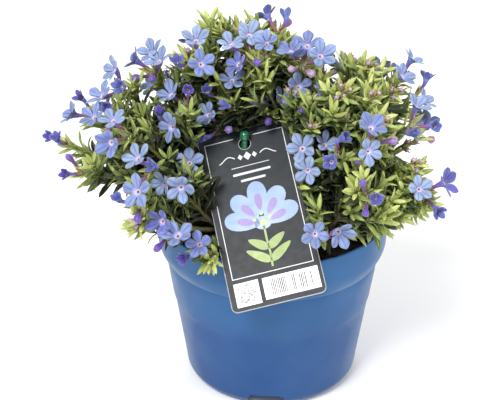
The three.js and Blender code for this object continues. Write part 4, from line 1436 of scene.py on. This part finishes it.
def add_bud(heap, root, end, axis, tone, plump, sepals=4.6):
    """A folded bud on its stalk, in a calyx. Plump widens its head."""
    end = end + into_box(np.array([end - BUD_GIRTH, end + BUD_GIRTH]))
    shares, radii = np.array(BUD_SHAPE).T
    radii = np.where(shares > 0.55, radii * plump, radii)
    span = np.linalg.norm(end - root)
    path = Path([root, root + axis * span * 0.3, end], 16)
    centres = path.point(shares * path.length)
    points = tube_points(centres[None], radii[None], FLOWER_SIDES, lobes=5, lobe_depth=0.12, lobe_turn=0.5)
    heap.tubes(points, ring_marks(1, shares, FLOWER_SIDES, np.array([tone])), BUDS)
    foot = path.point([0.1 * path.length])[0]
    add_calyx(heap, foot, path.tangent([1.0])[0], sepals, 0.7, rng.uniform(0, 0.6))


def add_bud_cluster(heap, path, tip, count):
    """Young buds in long green calyces, at the end of a shoot that has no open flower."""
    frame_axes = square_to(tip.facing)
    for j in range(count):
        aside = between(*frame_axes, 137 * j + rng.uniform(-25, 25))
        axis = between(tip.facing, aside, rng.uniform(10, 30) + 7 * j)
        foot = path.point([path.length - 1.6 * j])[0] + aside * 0.4
        end = foot + axis * rng.uniform(3.6, 6.4)
        tone, plump = rng.uniform(0, 0.5), rng.uniform(0.45, 0.62)
        add_bud(heap, foot, end, axis, tone, plump, sepals=rng.uniform(4.8, 6.6))


def add_hairs(heap, centres, reach, count):
    """Short pale bristles that stand out all round a point, as on a calyx."""
    roots = np.repeat(centres, count, axis=0) + rng.normal(0, 0.8, (len(centres) * count, 3))
    axis = unit(rng.normal(size=roots.shape))
    line = roots[:, None] + axis[:, None] * np.array([0.0, 1.0])[None, :, None] * reach
    radii = np.broadcast_to(np.array([0.06, 0.015]), line.shape[:2])
    heap.tubes(tube_points(line, radii, 3), np.zeros(3), HAIRS)


# The whole plant
def plan_shoots():
    """Every shoot of every stem with its tip, path, flowers and buds, before anything is made."""
    plan = []
    for number, stem in enumerate(STEMS):
        for i, shoot in enumerate(stem.shoots):
            tip = shoot_tip(shoot)
            path = shoot_path(trunk_controls(stem), 1 - i / len(stem.shoots), tip, shoot.bend)
            plan.append(Grown(number, shoot, tip, path, *spray_blooms(tip, shoot)))
    return plan


def add_trunk(heap, trunk):
    foot = trunk.points[0] - UP * (1 + TRUNK_DEPTH)
    centres = np.concatenate([[foot], trunk.point(np.linspace(0, trunk.length, 11))])
    radii = np.linspace(TRUNK_FOOT, TRUNK_FORK, len(centres))
    marks = ring_marks(1, np.linspace(0, 0.3, len(centres)), 10, np.zeros(1))
    heap.tubes(tube_points(centres[None], radii[None], 10), marks, WOOD)


def make_stem(number, shoots, materials, clear):
    """One stem: its trunk, its shoots and the fillers between them, with all their leaves."""
    heap, foliage = Heap(), Foliage()
    trunk = trunk_controls(STEMS[number])
    add_trunk(heap, Path(trunk))
    for grown in shoots:
        add_wood(heap, grown.path, SHOOT_FOOT, SHOOT_TIP, 0.3)
        foliage.dress(grown.path, min(grown.path.length * 0.85, 72), rng.uniform(14, 17), 0.85)
        side_twigs(grown.path, foliage, heap, clear)
        if grown.shoot.buds and not grown.shoot.open:
            add_bud_cluster(heap, grown.path, grown.tip, grown.shoot.buds + 2)
    for _, to, buds in (filler for filler in FILLERS if filler[0] == number):
        shoot = Shoot(to, 0, buds)
        tip = shoot_tip(shoot)
        path = shoot_path(trunk, 0.9, tip, shoot.bend)
        add_wood(heap, path, SHOOT_FOOT, SHOOT_TIP, 0.3)
        foliage.dress(path, 40, rng.uniform(13, 16), 0.8)
        side_twigs(path, foliage, heap, clear)
        add_bud_cluster(heap, path, tip, 2 * buds)
    foliage.build(heap, clear)
    finish_piece(heap.piece(f"shoots_{number + 1:02d}", materials), "foliage", f"leafy_stem_{number + 1:02d}")


def make_spray(number, grown, materials):
    """The open flowers and buds at one shoot's end. Flowers at the plant's sides look further aside."""
    heap = Heap()
    for root, face, axis in grown.flowers:
        aside = np.interp(abs(face[0]), [45, 100], [0.1, 1.1]) * rng.uniform(0.5, 1.1)
        lean = unit(axis + grown.tip.outwards * aside + rng.normal(0, 0.3, 3))
        if rng.random() < HALF_OPEN:
            lean = unit(lean + rng.normal(0, 0.35, 3))
            tone = rng.uniform(*HALF_OPEN_TONE)
            size, cup = rng.uniform(*HALF_OPEN_SIZE), rng.uniform(*HALF_OPEN_CUP)
        else:
            tone = float(np.clip(rng.normal(*OPEN_TONE), 0, 0.95))
            size, cup = rng.uniform(*OPEN_SIZE), rng.uniform(*OPEN_CUP)
        add_flower(heap, root, face, lean, tone, size, cup)
    for root, end, axis in grown.buds:
        add_bud(heap, root, end, axis, 1 - 0.8 * rng.random() ** 3, rng.uniform(0.8, 1.05))
    roots = np.array([root for root, _, _ in grown.flowers + grown.buds]) + grown.tip.facing * 2.5
    add_hairs(heap, roots, 1.3, 26)
    finish_piece(heap.piece(f"blooms_{number:02d}", materials), "petals", f"bloom_spray_{number:02d}")


def make_plant():
    leaf, bark, petal, tube = leaf_material(), twig_material(), petal_material(), tube_material()
    sepal, bud, hair = sepal_material(), bud_material(), hair_material()
    plan = plan_shoots()
    clear = Clear([flower for grown in plan for flower in grown.flowers])
    for number in range(len(STEMS)):
        shoots = [grown for grown in plan if grown.stem == number]
        make_stem(number, shoots, [bark, leaf, sepal, bud], clear)
    sprays = [grown for grown in plan if grown.shoot.open]
    for number, grown in enumerate(sprays, start=1):
        make_spray(number, grown, [petal, tube, sepal, bud, hair])


# Light, floor and camera
def make_floor():
    size = 3.0
    corners = [(-size, -size, 0), (size, -size, 0), (size, size, 0), (-size, size, 0)]
    mesh = bpy.data.meshes.new("floor")
    mesh.from_pydata(corners, [], [(0, 1, 2, 3)])
    mesh.materials.append(floor_material())
    floor = linked("floor", mesh)


def aim(thing, ahead):
    thing.rotation_euler = ahead.to_track_quat("-Z", "Y").to_euler()


def make_light(name, place, size, power):
    data = bpy.data.lights.new(name, "AREA")
    data.size = size
    data.energy = power
    light = linked(name, data)
    light.location = place
    aim(light, Vector(LIGHTS_AIM) - Vector(place))


def make_light_and_camera():
    scene = bpy.context.scene
    scene.view_settings.view_transform = "Standard"
    world = bpy.data.worlds.new("studio")
    world.use_nodes = True
    world.node_tree.nodes["Background"].inputs["Color"].default_value = (1.0, 1.0, 1.0, 1)
    world.node_tree.nodes["Background"].inputs["Strength"].default_value = WORLD_LIGHT
    scene.world = world
    for light in LIGHTS:
        make_light(*light)
    data = bpy.data.cameras.new("camera")
    data.sensor_fit = "HORIZONTAL"
    data.sensor_width = SENSOR
    data.lens = CAMERA_LENS
    camera = linked("camera", data)
    camera.location = Vector(CAMERA_PLACE) * MM
    pitch, yaw = math.radians(CAMERA_PITCH), math.radians(CAMERA_YAW)
    aim(camera, Vector((math.sin(yaw) * math.cos(pitch), math.cos(yaw) * math.cos(pitch), -math.sin(pitch))))
    scene.camera = camera


make_light_and_camera()
make_floor()
make_pot(pot_material())
make_soil(soil_material())
make_label()
make_peg(peg_material())
make_plant()
